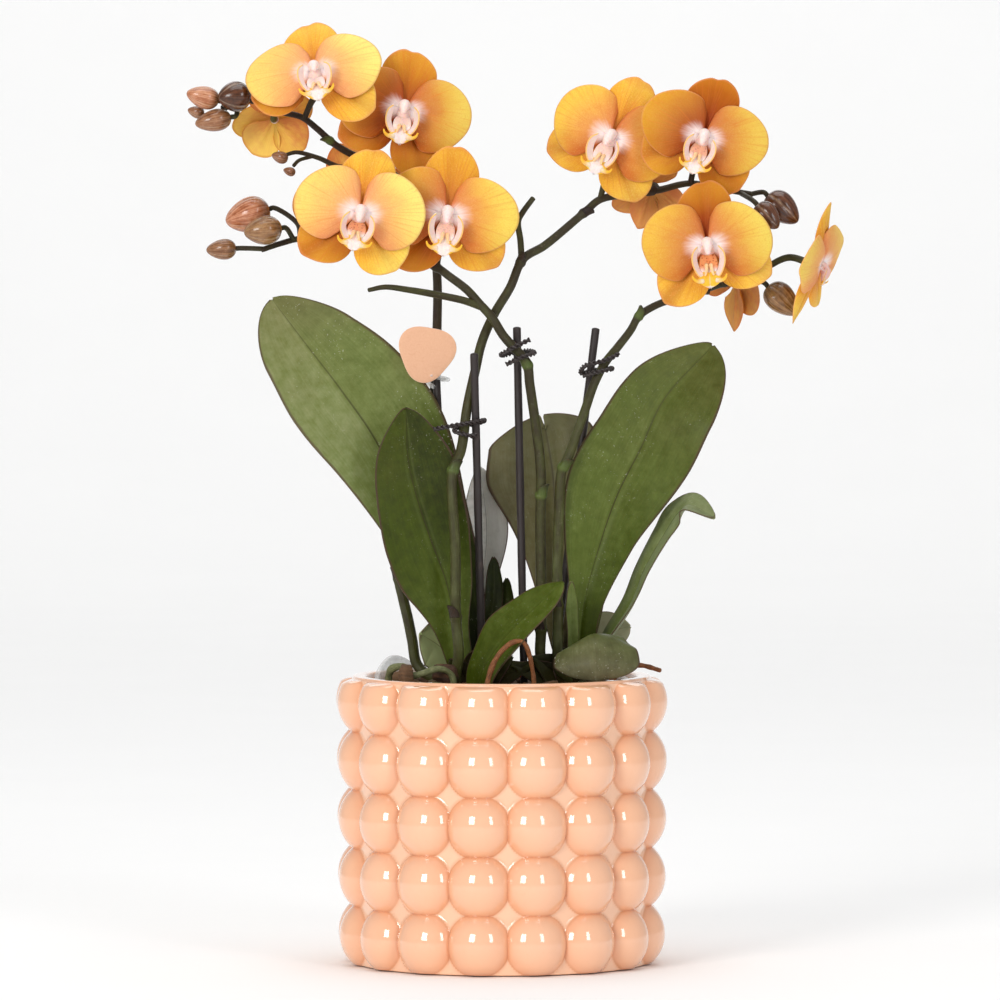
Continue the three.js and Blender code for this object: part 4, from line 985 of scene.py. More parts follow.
# Rows along and columns across each surface
BUD_GRID = (34, 48)
BRACT_GRID = (12, 13)
TEPAL_GRID = (30, 45)
LEAF_GRID = (84, 33)
SMALL_LEAF_GRID = (44, 23)


def bract(centre, along, out, stem_radius, length, green):
    """A small pointed sheath that hugs a stem below a node."""
    along, out = unit(np.array(along, float)), np.array(out, float)
    out = unit(out - along * out.dot(along))
    beside = np.cross(along, out)
    rows, columns = BRACT_GRID
    share = np.linspace(0, 1, rows)[:, None]
    v = np.linspace(-1, 1, columns)[None]
    angle = v * 1.7 * np.sqrt(np.clip(1 - share ** 1.8, 0.003, 1))
    radius = stem_radius + 0.25 + 0.9 * share ** 2
    grid = np.array(centre)[None, None] + along * (share * length)[..., None]
    grid = grid + out * (radius * np.cos(angle))[..., None] + beside * (radius * np.sin(angle))[..., None]
    return sheet(grid, 0.16, STEM, along=share, across=v, length=0.05, ripe=0.75,
                 green=green * (1 - 0.5 * share))


def spike_rod(path, start, end, ripe, nodes=()):
    """A stem that thins from start to end radius and swells into a ring at each node."""
    centres, tangents, _, length = evenly(path, 300)
    share = np.linspace(0, 1, 301)
    rings = []
    for height, green in nodes:
        nearest = int(np.argmin(np.abs(centres[:, 2] - height) + 0.02 * share * length))
        rings.append((share[nearest], green, centres[nearest], tangents[nearest]))

    def radius(t):
        thick = start + (end - start) * t ** 2.2
        for place, _, _, _ in rings:
            thick = thick + 0.45 * np.exp(-((t - place) * length / 1.1) ** 2)
        return thick

    def greenness(t):
        total = np.zeros(len(t))
        for place, green, _, _ in rings:
            total = total + green * np.exp(-((t - place) * length / 1.8) ** 2)
        return total

    parts = [rod(path, radius, STEM, sides=18, spacing=0.7, seed=start + length,
                 ripe=lambda t: ripe[0] + (ripe[1] - ripe[0]) * t, green=greenness)]
    for index, (place, green, centre, tangent) in enumerate(rings):
        out = (1 if index % 2 else -1, -0.6, 0.1)
        thick = start + (end - start) * place ** 2.2
        parts.append(bract(centre, tangent, out, thick, 5 - 2 * place, max(green, 0.3)))
    return parts


def bud_body(base, tip, radius, **looks):
    """A bud with three seams where its sepals meet, and a slightly hooked tip."""
    base, tip = np.array(base, float), np.array(tip, float)
    axis = unit(tip - base)
    side = unit(np.cross(axis, [0.2, 0.3, 1.0]))
    other = np.cross(axis, side)
    rows, sides = BUD_GRID
    t = (1 - np.cos(np.linspace(0.02, 0.985, rows) * math.pi)) / 2
    width = np.sqrt(np.sin(math.pi * t ** 0.85)) * (1 - 0.25 * t)
    turn = full_turn(sides)
    nearest = np.abs((np.degrees(turn) + 60) % 120 - 60)
    seam = np.exp(-(nearest / 5) ** 2)
    reach = radius * width[:, None] * (1 + 0.05 * np.cos(3 * turn + math.pi)[None] - 0.075 * seam[None])
    hook = 0.09 * radius * t ** 3
    points = (base + axis * (t * np.linalg.norm(tip - base))[:, None])[:, None]
    points = points + side * (reach * np.cos(turn) + hook[:, None])[..., None]
    points = points + other * (reach * np.sin(turn))[..., None]
    along = np.repeat(t, sides)
    seams = np.tile(seam, rows)
    return tube(points, BUD, along=along, seam=seams, length=np.linalg.norm(tip - base) / 100, **looks)


def pedicel(name):
    """The stalk from the spike to the back of a flower, which it meets from straight behind."""
    place = FLOWERS[name]
    matrix = flower_matrix(place)
    back = PEDICEL["ends_behind"] * place["size"]
    start = np.array(place["start"], float)
    end = behind(matrix, back, place)
    reach = min(PEDICEL["runs_straight"], np.linalg.norm(start - end) * 0.5)
    approach = behind(matrix, back + reach, place)
    middle = (start + approach) / 2 + np.array([0, 0, 1])
    tint = 0.3 + 0.3 * max(place["deep"])
    return rod([start, middle, approach, end], lambda t: PEDICEL["radius"] + PEDICEL["swell"] * t, STEM,
               sides=14, spacing=0.5, seed=float(len(name)) + start[0], ripe=tint, green=lambda t: 0.3 * t)


def spike(name):
    """A flower spike with its branches, pedicels, bud stalks and smallest buds."""
    spec = SPIKES[name]
    parts = spike_rod(spec["stem"], SPIKE_RADIUS, spec["end"], spec["ripe"], spec["nodes"])
    for (start, end), path in spec["branches"]:
        parts += spike_rod(path, start, end, (0.7 * spec["ripe"][1],) * 2)
    for x, y, z, radius in spec["tiny_buds"]:
        base, tip = (x + radius, y, z - 0.3 * radius), (x - radius, y, z + 0.3 * radius)
        parts.append(bud_body(base, tip, radius * 0.85, deep=0.45, olive=0.3, seed=radius))
    for flower_name, place in FLOWERS.items():
        if place["spike"] == name:
            parts.append(pedicel(flower_name))
    for bud in BUDS.values():
        if bud["spike"] == name:
            base, tip = np.array(bud["base"], float), np.array(bud["tip"], float)
            approach = base - unit(tip - base) * 1.8
            path = [*bud["stalk"][:-1], approach, base]
            parts.append(rod(path, STALK_RADIUS, STEM, sides=12, spacing=0.5, seed=base[0], ripe=0.5,
                             green=lambda t: 0.4 * t))
    return parts


# Flowers

# Outlines of the right petal and the upper sepal in the flower's own plane, x to the right and y up,
# clockwise round their outer edge. Both fan out from a base near the middle.
PETAL_OUTLINE = [
    (1.9, 11.3), (5.0, 14.9), (10.8, 16.0), (17.2, 13.8), (22.2, 9.2), (24.3, 3.2), (23.2, -2.4),
    (20.0, -7.4), (15.3, -10.3), (10.5, -10.9), (6.3, -7.6),
]
PETAL_BASE = (0.3, 0.8)
SEPAL_OUTLINE = [
    (-7.2, 7.0), (-9.6, 11.5), (-9.8, 16.4), (-7.4, 20.8), (-3.6, 23.6), (0.0, 24.4), (3.6, 23.6),
    (7.4, 20.8), (9.8, 16.4), (9.6, 11.5), (7.2, 7.0),
]
SEPAL_BASE = (0, 0.6)
PETAL_REACH = 24.5
SEPAL_REACH = 24.4
TEPALS = {
    "dorsal_sepal": {"angle": 90, "kind": "sepal", "ends": (-1, 1), "folded": 0.25},
    "left_sepal": {"angle": 221, "kind": "sepal", "ends": (-1, 1), "folded": 0.8},
    "right_sepal": {"angle": 319, "kind": "sepal", "ends": (1, -1), "folded": 0.6},
    "left_petal": {"angle": 168, "kind": "petal", "ends": (-1, 1), "folded": 0.0},
    "right_petal": {"angle": 12, "kind": "petal", "ends": (1, -1), "folded": 0.0},
}

# deep is how dark each tepal is, partly its own colour and partly painted shade, and glow how yellow its
# outer part, partly its own colour and partly painted light, in the order of TEPALS. The pedicel leaves its
# spike at start, and angles has the tepals that stand otherwise than in TEPALS.
USUAL_FLOWER = {
    "pitch": 0, "angles": {}, "glow": (0.0,) * 5, "narrow": (1.0, 1.0), "rosy": 0.0, "pointed": 0.0,
    "cup": 0.0, "lip": 1.0, "lip_size": 1.0, "gold": 0.0, "spotted": 0.6, "pink": 0.12,
}
FLOWERS = {
    "flower_1": {
        "spike": "flower_spike_1", "start": (-73, 5, 313), "at": (-68.6, -12, 329), "yaw": -5, "pitch": 30,
        "roll": 10, "size": 1.03, "angles": {"left_sepal": 188, "right_sepal": 322},
        "deep": (0.05, 0.85, 0.15, 0.05, 0.0), "glow": (0.2, 0.0, 0.3, 0.35, 0.9), "spotted": 0.3,
        "rosy": 0.5,
    },
    "flower_2": {
        "spike": "flower_spike_1", "start": (-41, 11.3, 292.5), "at": (-36, 0, 315.5), "yaw": 0,
        "pitch": 12, "roll": -7, "size": 1.02,
        "angles": {"left_sepal": 206, "right_sepal": 297, "right_petal": -2},
        "deep": (0.75, 1.0, 0.8, 0.85, 0.5), "glow": (0.0, 0.0, 0.2, 0.0, 1.0), "lip": 0.95, "spotted": 0.4,
    },
    "flower_3": {
        "spike": "flower_spike_3", "start": (-45, 4, 265), "at": (-52, -28, 277.5), "yaw": 2, "roll": -12,
        "size": 1.02,
        "angles": {"left_sepal": 226, "right_sepal": 316, "right_petal": 17},
        "deep": (0.05, 0.85, 0.0, 0.03, 0.0), "glow": (0.1, 0.0, 0.6, 0.4, 1.0), "lip": 0.93,
        "spotted": 0.7, "rosy": 0.45,
    },
    "flower_4": {
        "spike": "flower_spike_3", "start": (-24, -1, 258), "at": (-20, -14, 277), "yaw": 0, "roll": -6,
        "size": 1.05,
        "angles": {"left_sepal": 228, "right_sepal": 321, "right_petal": 6},
        "deep": (0.35, 1.1, 0.4, 0.45, 0.2), "glow": (0.0, 0.0, 0.2, 0.0, 0.8), "spotted": 0.5,
    },
    "flower_5": {
        "spike": "flower_spike_1", "start": (-84, 3, 316), "at": (-84.5, 19, 313), "yaw": 180, "roll": -17,
        "size": 0.64, "narrow": (0.72, 1.15), "angles": {"left_sepal": 241}, "deep": (0.0,) * 5,
        "glow": (0.0, 0.0, 0.45, 0.0, 0.5),
    },
    "flower_6": {
        "spike": "flower_spike_2", "start": (36.5, 7, 283), "at": (40.3, -4, 305.4), "yaw": -12,
        "roll": -23, "size": 1,
        "angles": {"dorsal_sepal": 84, "left_sepal": 213, "right_sepal": 313},
        "deep": (0.15, 0.25, 0.15, 0.2, 0.3), "glow": (0.2, 0.2, 0.3, 0.3, 0.0), "spotted": 0.4,
    },
    "flower_7": {
        "spike": "flower_spike_2", "start": (70, 8, 289), "at": (74, -15, 305.5), "yaw": 0, "roll": -18,
        "size": 0.97,
        "angles": {"dorsal_sepal": 93, "left_sepal": 212, "right_sepal": 323},
        "deep": (1.4, 0.7, 0.8, 0.85, 0.45), "glow": (0.0, 0.0, 0.0, 0.0, 0.7), "spotted": 0.6,
    },
    "flower_8": {
        "spike": "flower_spike_4", "start": (73.5, 5, 249), "at": (75.5, -23, 265.5), "yaw": 0, "roll": 4,
        "size": 1.01, "angles": {"left_sepal": 229, "right_sepal": 333}, "deep": (1.1, 0.2, 0.1, 0.45, 0.3),
        "glow": (0.0, 0.1, 0.4, 0.3, 0.9), "lip": 1.05, "gold": 1.1, "spotted": 0.9,
    },
    "flower_9": {
        "spike": "flower_spike_4", "start": (84.7, 5, 252.5), "at": (87.6, 20, 252.5), "yaw": 128,
        "roll": 40, "size": 0.74, "narrow": (0.8, 0.8), "rosy": 0.4, "deep": (0.9, 0.3, 0.9, 0.3, 0.9),
        "pointed": 0.35,
    },
    "flower_10": {
        "spike": "flower_spike_4", "start": (92, 4, 253.5), "at": (117.5, -4, 258.5), "yaw": 71,
        "pitch": -15, "roll": 0, "size": 0.98, "narrow": (0.85, 0.7), "rosy": 0.3,
        "deep": (0.15, 0.0, 0.05, 0.05, 0.05), "glow": (0.4,) * 5, "pointed": 0.45, "cup": 2.5,
        "lip_size": 0.5,
        "angles": {"right_petal": 32, "left_petal": 176, "left_sepal": 248},
        "pink": 0.5,
    },
    "flower_11": {
        "spike": "flower_spike_2", "start": (58, 8, 286.5), "at": (56, 18, 288), "yaw": 178, "roll": -30,
        "size": 0.68, "narrow": (0.85, 0.85), "rosy": 0.5, "angles": {"left_sepal": 250, "left_petal": 135},
        "deep": (0.3, 0.3, 0.5, 0.3, 0.3), "pointed": 0.4, "lip_size": 0.55,
    },
    "flower_12": {
        "spike": "flower_spike_3", "start": (-60, 4, 267), "at": (-54.5, 21, 280.5), "yaw": 172, "roll": -8,
        "size": 0.98, "narrow": (0.85, 0.85), "deep": (0.1, 0.1, 0.1, 0.0, 0.0),
    },
}
FLOWERS = {name: {**USUAL_FLOWER, **given} for name, given in FLOWERS.items()}


def flower_matrix(place):
    """From a flower's own plane to the plant."""
    upright = Matrix(((1, 0, 0, 0), (0, 0, -1, 0), (0, 1, 0, 0), (0, 0, 0, 1)))
    turned = Matrix.Translation(place["at"]) @ Matrix.Rotation(math.radians(place["yaw"]), 4, "Z")
    turned = turned @ Matrix.Rotation(-math.radians(place["pitch"]), 4, "X") @ upright
    turned = turned @ Matrix.Rotation(math.radians(place["roll"]), 4, "Z") @ Matrix.Scale(place["size"], 4)
    return np.array(turned)


def behind(matrix, distance, place):
    """A point straight behind a flower's middle."""
    return (matrix @ np.array([0, 0, -distance / place["size"], 1]))[:3]


def tepal(spec, angle, deep, glow, place):
    """A sepal or petal that fans out from its base, domed, with rolled edges and a few soft folds."""
    petal = spec["kind"] == "petal"
    outline = np.array(PETAL_OUTLINE if petal else SEPAL_OUTLINE, float)
    thin = 1 - place["pointed"] * (outline[:, 0 if petal else 1] / SEPAL_REACH) ** 3
    whole = np.ones(len(outline))
    outline = outline * np.column_stack([whole, thin] if petal else [thin, whole])
    base = np.array(PETAL_BASE if petal else SEPAL_BASE, float)
    grown = 90
    if petal:
        grown = TEPALS["right_petal"]["angle"]
        if spec["ends"][0] < 0:
            outline, base = outline[::-1] * (-1, 1), base * (-1, 1)
            grown = TEPALS["left_petal"]["angle"]
    turn = math.radians(angle - grown)
    phase, lively = draw.uniform(0, 6), draw.uniform(0.8, 1.25)
    outline = outline * (1 + 0.03 * np.sin(0.9 * np.arange(len(outline))[:, None] + 2 * phase))
    outline = outline * ((1, place["narrow"][0]) if petal else (place["narrow"][1], 1))
    rows, columns = TEPAL_GRID
    edge = curve(np.column_stack([outline, np.zeros(len(outline))]), np.linspace(0, 1, columns))[:, :2]
    v = np.linspace(*spec["ends"], columns)[None]
    t = (0.06 + 0.94 * np.linspace(0, 1, rows) ** 0.85)[:, None]
    flat = base + t[..., None] * (edge - base)[None]
    span = np.linalg.norm(flat, axis=2) / PETAL_REACH
    if petal:
        dome = 1.6 * (1 - t ** 2.4) * np.clip(span * 3.5, 0, 1)
        shoulder = -1.5 * np.clip((v - 0.5) / 0.5, 0, 1) ** 2 * t
        channel = -0.3 * np.exp(-((v - 0.05) / 0.05) ** 2) * (1 - 0.7 * t)
        lift = 0.2 + dome - 2.0 * span ** 2 - 0.6 * t ** 7 + shoulder + channel
        folds = 0.45 * np.sin(4.5 * v + phase) * t * (1.2 - t)
        lift = lift + lively * (folds + 0.28 * np.sin(9 * v + phase) * t ** 5)
    else:
        channel = -(0.5 + 0.7 * spec["folded"]) * np.exp(-(v / 0.16) ** 2) * np.sin(np.clip(t, 0, 1) * 2.9)
        rolled = -1.3 * t ** 5 * np.abs(v) ** 1.5
        lift = -1.9 + 0.9 * (1 - t ** 2) - 2.4 * span ** 2 + channel + rolled
        lift = lift + lively * 0.25 * np.sin(7 * v + phase) * t ** 3
        drawn = 0.8 * np.exp(-(v / 0.1) ** 2) * t ** 8
        flat = flat - drawn[..., None] * np.array([0, 1]) * (1 if spec["angle"] == 90 else -0.6)
    lift = lift + place["cup"] * span ** 2
    cos, sin = math.cos(turn), math.sin(turn)
    x, y = flat[..., 0], flat[..., 1]
    grid = np.stack([x * cos - y * sin, x * sin + y * cos, lift], axis=2)
    return sheet(grid, 0.34 - 0.2 * t ** 6, PETAL if petal else SEPAL, along=t, across=v, span=span,
                 seed=draw.uniform(0, 40), deep=deep, glow=glow, folded=spec["folded"], rosy=place["rosy"])


def lip_blade(spine, face, half, rise, rows=22, columns=15, **looks):
    """A fleshy lobe of the lip; looks may be functions of its places along and across."""
    grid, t, v = blade_grid(spine, face, rows, columns, rise)
    values = {key: value(t, v) if callable(value) else value for key, value in looks.items()}
    return sheet(grid, half * (1 - 0.5 * v ** 2), LIP, along=t, across=v, **values)


def lip_and_column(pink, long, gold, spotted):
    """The hooded column, the two upright side lobes, the anchor-shaped middle lobe and its callus."""
    def column_radius(t):
        return np.interp(t, (0, 0.35, 0.75, 1), (2.0, 2.15, 1.7, 1.0))

    def channel(t, v, reach):
        return 0.1 * reach * v ** 2 - 0.3 * np.exp(-(v * 4) ** 2)

    def shoulders(t, v):
        return np.clip(np.abs(v) * 1.6 - 0.55 + gold, 0, 1) * np.clip(3 - np.abs(t - 0.74) * 11, 0, 1)

    column = [(0, 1.9, 0.3), (0, 1.7, 3.4), (0, 0.5, 5.6), (0, -1.6, 6.6)]
    foot = [(0, -0.4, -1.4), (0, -0.8, 0.8), (0, -1.6, 1.6)]
    middle = [
        (0, -1.4, 0.8, 1.6, 1.6), (0, -4.2, 2.8, 3.1, 3.1), (0, -7.2 * long, 4.2, 3.2, 3.2),
        (0, -9.4 * long, 5.2, 2.1, 2.1), (0, -11.0 * long, 6.0, 4.4, 4.4), (0, -13.9 * long, 5.3, 2.7, 2.7),
    ]
    parts = [
        rod(column, column_radius, LIP, sides=22, spacing=0.35, rounded=0.9,
            pink=lambda t: pink + 0.45 * np.clip(t - 0.5, 0, 1)),
        rod(foot, 2.5, LIP, sides=20, spacing=0.4, rounded=0.6, pink=0.5,
            throat=lambda t: 0.5 * spotted * t),
        lip_blade(middle, ((0, 0.2, 1), (0, 0.2, 1)), 0.5, channel, rows=34, columns=21, pink=pink,
                  throat=lambda t, v: spotted * np.clip(2.2 - t * 3.9, 0, 1), yellow=shoulders),
    ]
    for side in (-1, 1):
        lobe = [
            (side * 1.2, -9.8 * long, 4.4, 1.0, 1.0), (side * 3.5, -9.0 * long, 5.0, 1.6, 1.6),
            (side * 5.2, -5.6, 5.8, 2.0, 2.0), (side * 5.2, -2.2, 6.4, 1.9, 1.9),
            (side * 3.9, 0.5, 6.8, 1.2, 1.2),
        ]
        horn = [
            (side * 2.6, -11.4 * long, 6.1), (side * 4.4, -11.4 * long, 6.6),
            (side * 5.7, -10.6 * long, 7.2), (side * 6.2, -9.5 * long, 7.7),
        ]
        callus = [(side * 0.8, -6.4, 4.4), (side * 1.0, -7.8 * long, 6.0), (side * 1.5, -9.4 * long, 6.6)]
        parts.append(lip_blade(
            lobe, ((-side, 0, 0.45), (-side, 0, 0.55)), 0.42, lambda t, v, reach: 0.3 * v ** 2,
            pink=pink + 0.1, yellow=lambda t, v, side=side: 0.75 * np.clip(v * side * 1.6 - 0.75, 0, 1),
            throat=lambda t, v: 0.8 * spotted * np.clip(0.35 - t * 1.8, 0, 1)))
        parts.append(rod(horn, lambda t: 0.95 - 0.65 * t, LIP, sides=14, spacing=0.3, rounded=0.7,
                         pink=pink, yellow=lambda t: 0.45 + 0.55 * t))
        parts.append(rod(callus, lambda t: 0.8 - 0.4 * t, LIP, sides=12, spacing=0.3, rounded=0.8,
                         yellow=0.55))
    return parts


def flower(name):
    """Lip, column, five tepals and the end of the stalk, set where the flower stands."""
    place = FLOWERS[name]
    shrink = np.diag([place["lip_size"]] * 3 + [1.0])
    lip = lip_and_column(place["pink"], place["lip"], place["gold"], place["spotted"])
    parts = [part.moved(shrink) for part in lip]
    parts.append(rod([(0, 0, -3.1), (0, 0, -2.4), (0, 0, -1.2)], lambda t: 1.5 + 0.7 * t, STEM, sides=16,
                     spacing=0.4, ripe=0.35, green=0.25, seed=place["yaw"]))
    for (label, spec), deep, glow in zip(TEPALS.items(), place["deep"], place["glow"]):
        angle = place["angles"].get(label, spec["angle"])
        parts.append(tepal(spec, angle, deep, glow, place))
    matrix = flower_matrix(place)
    return [part.moved(matrix) for part in parts]


# Leaves

# pale is partly painted shade, root is a painted shadow on the right side near the root, and grey is partly
# a painted sheen
LEAVES = {
    "leaf_1": {
        "spine": [
            (-13.2, 3, 108, 6, 6), (-20.6, 5, 134.5, 6, 15), (-33.5, 7, 164, 12, 22),
            (-46, 9, 193, 20.5, 26.5), (-59, 12, 212, 22.5, 25), (-71.5, 16, 228, 19, 19),
            (-85.5, 21, 246, 15, 11),
        ],
        "face": ((0.3, -1, 0.1), (0, -1, 0.35)), "pale": (0.86, 0.73), "brown": (0.0, 0.5),
        "dusty": (0.2, 1.0), "notch": 0.5, "root": 0.75,
    },
    "leaf_2": {
        "spine": [
            (-14, -3, 107, 4.5, 4.5), (-17, -5, 124.5, 8, 5), (-20, -6, 141, 16, 9.5),
            (-26, -7, 157.5, 17.5, 15), (-31.5, -8, 174, 15, 17), (-34.5, -8, 187, 12, 16.5),
            (-35.5, -8, 206, 6, 10.5),
        ],
        "face": ((0, -1, 0.1), (0, -1, 0.2)), "pale": (0.36, 0.24), "brown": (0.0, 0.35),
        "dusty": (0.1, 0.4), "root": -0.5,
    },
    "leaf_3": {
        "spine": [
            (28.5, 0, 108, 5, 5.5), (30.2, -1, 131, 5, 6.5), (37.5, -0.5, 158, 15.5, 12),
            (43.5, 1, 174.5, 20.5, 17), (52, 3.5, 191.5, 19.5, 20), (60.5, 7.5, 209.5, 15.5, 20.5),
            (78.5, 16, 229, 8, 18.5),
        ],
        "face": ((0.2, -1, 0.1), (0.15, -1, 0.35)), "pale": (0.6, 0.53), "brown": (0.0, 0.5),
        "dusty": (0.6, 0.2), "notch": 0.4, "root": 0.24,
    },
    "leaf_4": {
        "spine": [
            (27, 5, 106, 4, 4), (23.5, 11, 116, 4.5, 4.5), (20, 16.5, 134, 6, 5), (20, 20, 156, 14, 11),
            (19.6, 23, 177, 24.5, 16), (17, 26, 193.5, 22, 18), (15, 27, 202.5, 16, 15),
        ],
        # the brown near the root is partly painted shade
        "face": ((0, -1, 0.1), (0, -1, -0.3)), "pale": (0.76, 0.82), "brown": (1.0, 0.75),
        "dusty": (0.2, 0.2), "grey": (0.0, 0.05), "notch": 5.0, "root": 0.65, "from_below": True,
        "crease": 2.6,
    },
    # painted reflection: this leaf's pale grey stands in for light reflected off its glossy face
    "leaf_5": {
        "spine": [
            (-11.5, 8, 107, 3.2, 3.2), (-7.5, 17, 138, 5, 5), (-5.5, 22, 160, 9, 8), (-8, 24.5, 183, 6, 6),
        ],
        "face": ((0, -1, 0.1), (0, -1, 0.3)), "pale": (1.0, 0.9), "brown": (0.0, 0.0), "dusty": (0.3, 0.3),
        "grey": (1.0, 1.0), "from_below": True,
    },
    # the grey towards the tip is a painted sheen on the curled hump
    "leaf_6": {
        "spine": [
            (33.5, 5, 107, 4.5, 4.5), (38.2, 5, 118.5, 5, 5), (47.6, 4, 133.6, 6, 6),
            (52.5, 3, 146, 6.5, 6.5), (60.4, 2, 160, 7, 7), (65.5, 1, 167.5, 7.5, 7.5),
            (69.3, -1, 170.3, 7, 7), (78.6, -4, 165.5, 4, 5.5),
        ],
        "face": ((-1, -0.2, 0.3), (0.1, -0.5, 1)), "pale": (0.72, 0.72), "brown": (0.0, 0.3),
        "dusty": (0.4, 0.4), "grey": (0.0, 0.12), "root": 0.1,
    },
    "leaf_7": {
        "spine": [
            (-9.5, -15, 100, 6, 8), (-7.2, -19, 110, 8.5, 11), (0.5, -23.5, 122, 11, 12),
            (11, -26, 132.5, 8.5, 10), (22.5, -27, 142.5, 5.5, 7),
        ],
        "face": ((-0.4, -0.6, 0.7), (-0.4, -0.7, 0.6)), "pale": (0.42, 0.46), "brown": (0.1, 0.1),
        "dusty": (0.2, 0.3), "root": 0.2, "crease": 0.4,
    },
    "leaf_8": {
        "spine": [
            (32, -4.5, 107, 4.5, 4.5), (32.6, -17, 119.5, 9, 9), (33.8, -23, 121.2, 12.2, 12),
            (34.4, -27, 118.8, 15, 15), (35, -30, 113.5, 15.8, 15.8), (35.2, -31.2, 107.0, 15.4, 15.2),
        ],
        "face": ((0, -0.6, 0.8), (0, -1, 0.3)), "pale": (0.5, 0.54), "brown": (0.2, 0.8),
        "dusty": (1.0, 1.0), "grey": (0.0, 0.2), "fold": -0.36, "root": 0.1, "crease": 0.25,
    },
    "leaf_9": {
        "spine": [
            (28.5, 5, 107, 3.5, 3.5), (30.5, 13, 117, 5, 5), (38, 16, 121.5, 8, 8), (47.8, 17.5, 124, 7, 7),
        ],
        "face": ((0, -0.9, 0.5), (0, -1, 0.3)), "pale": (0.94, 0.94), "brown": (0.7, 0.7),
        "dusty": (0.3, 0.3), "grey": (0.1, 0.1), "root": 0.1,
    },
    "leaf_10": {
        "spine": [
            (-15, 4, 106.5, 4.5, 4.5), (-19, 4.5, 114, 9, 9), (-24, 4, 118.5, 10.5, 10.5),
            (-30, 2, 122, 9, 9),
        ],
        "face": ((0, -0.8, 0.6), (0, -0.9, 0.4)), "pale": (1.1, 1.08), "brown": (0.15, 0.15),
        "dusty": (0.4, 0.4), "root": 0.1,
    },
    # set dark, partly painted shade: this small leaf stands in the shade at the back
    "leaf_11": {
        "spine": [(-9, 6, 107, 3, 3), (-3, 10.5, 134, 3.5, 3.5), (-3, 11.5, 150, 3.5, 3.5)],
        "face": ((0.3, -1, 0), (0.3, -1, 0.1)), "pale": (0.12, 0.12), "brown": (0.5, 0.2),
        "dusty": (0.2, 0.2),
    },
    # set dark, partly painted shade: this small leaf stands in the shade at the back
    "leaf_12": {
        "spine": [(-7, 8.5, 107, 2.6, 2.6), (0.8, 13, 126.5, 3.6, 3.6), (2, 14.5, 142, 3.3, 3.3)],
        "face": ((0.3, -1, 0.1), (0.3, -1, 0.1)), "pale": (0.15, 0.15), "brown": (0.5, 0.2),
        "dusty": (0.2, 0.2),
    },
    "leaf_13": {
        "spine": [(26, -4.4, 108, 2, 2), (26, -7.5, 131, 2.5, 2.5), (25.7, -9, 142, 2, 2)],
        "face": ((0.5, -0.9, 0), (0.5, -0.9, 0.1)), "pale": (0.7, 0.7), "brown": (0.0, 0.0),
        "dusty": (0.3, 0.3),
    },
    "leaf_14": {
        "spine": [(29.5, 5.6, 108, 2.2, 2.2), (33.5, 8, 128.5, 3.5, 3.5), (37, 9, 142.5, 3, 3)],
        "face": ((0, -1, 0.1), (0, -1, 0.1)), "pale": (0.6, 0.6), "brown": (0.1, 0.1), "dusty": (0.3, 0.3),
    },
}


def leaf(spine, face, pale, brown, dusty, notch=0.0, from_below=False, fold=0.22, grey=(0.0, 0.0), root=0.0,
         crease=1.0):
    """A leathery strap folded along its midrib, with an uneven surface and a thin rim.

    pale and dusty run from the left side to the right one, brown and grey from the root to the tip, and
    root is how much painted shadow darkens the right side near the root. pale is partly painted shade, one
    half of the fold set darker than the other, and grey is partly a painted sheen.
    """
    phase = draw.uniform(0, 6)
    long = len(spine) > 4

    def rise(t, v, reach):
        bent = fold * reach * (np.abs(v) ** 1.4 - 0.4)
        groove = -0.8 * crease * np.exp(-(v * reach / (1.3 * crease)) ** 2)
        groove = groove * np.clip(0.55 + 0.5 * crease - t, 0, 1)
        swell = 0.45 * np.sin(7 * t + phase) * v ** 2
        swell = swell + 0.2 * np.sin(17 * t + 4 * v + phase) * np.abs(v) ** 1.5
        return bent + groove + swell * np.clip(t * 3, 0, 1)

    grid, t, v = blade_grid(spine, face, *(LEAF_GRID if long else SMALL_LEAF_GRID), rise, notch)
    half = 0.62 - 0.42 * np.abs(v) ** 2.5 + 0.5 * np.clip(0.12 - t, 0, 1) * (1 - v ** 2)
    # painted shadow: the right side darkens near the root, where the other leaves shade it
    painted_root_shade = root * np.clip(1.15 - t / 0.5, 0, 1) * (0.55 + 0.45 * v)
    # pale is partly each leaf's own tone and partly painted shade: one half of the fold is set darker than
    # the other, and the small leaves at the back darker overall
    part = sheet(grid, half, LEAF, along=t, across=v, seed=draw.uniform(0, 40), rib=min(crease, 1),
                 pale=pale[0] + (pale[1] - pale[0]) * np.clip(0.5 + 9 * v, 0, 1) - painted_root_shade,
                 brown=brown[0] + (brown[1] - brown[0]) * t, grey=grey[0] + (grey[1] - grey[0]) * t,
                 dusty=dusty[0] + (dusty[1] - dusty[0]) * (v + 1) / 2)
    if from_below:
        part.attributes["side"] = 1 - part.attributes["side"]
    return [part]


# Ties, clip and tag

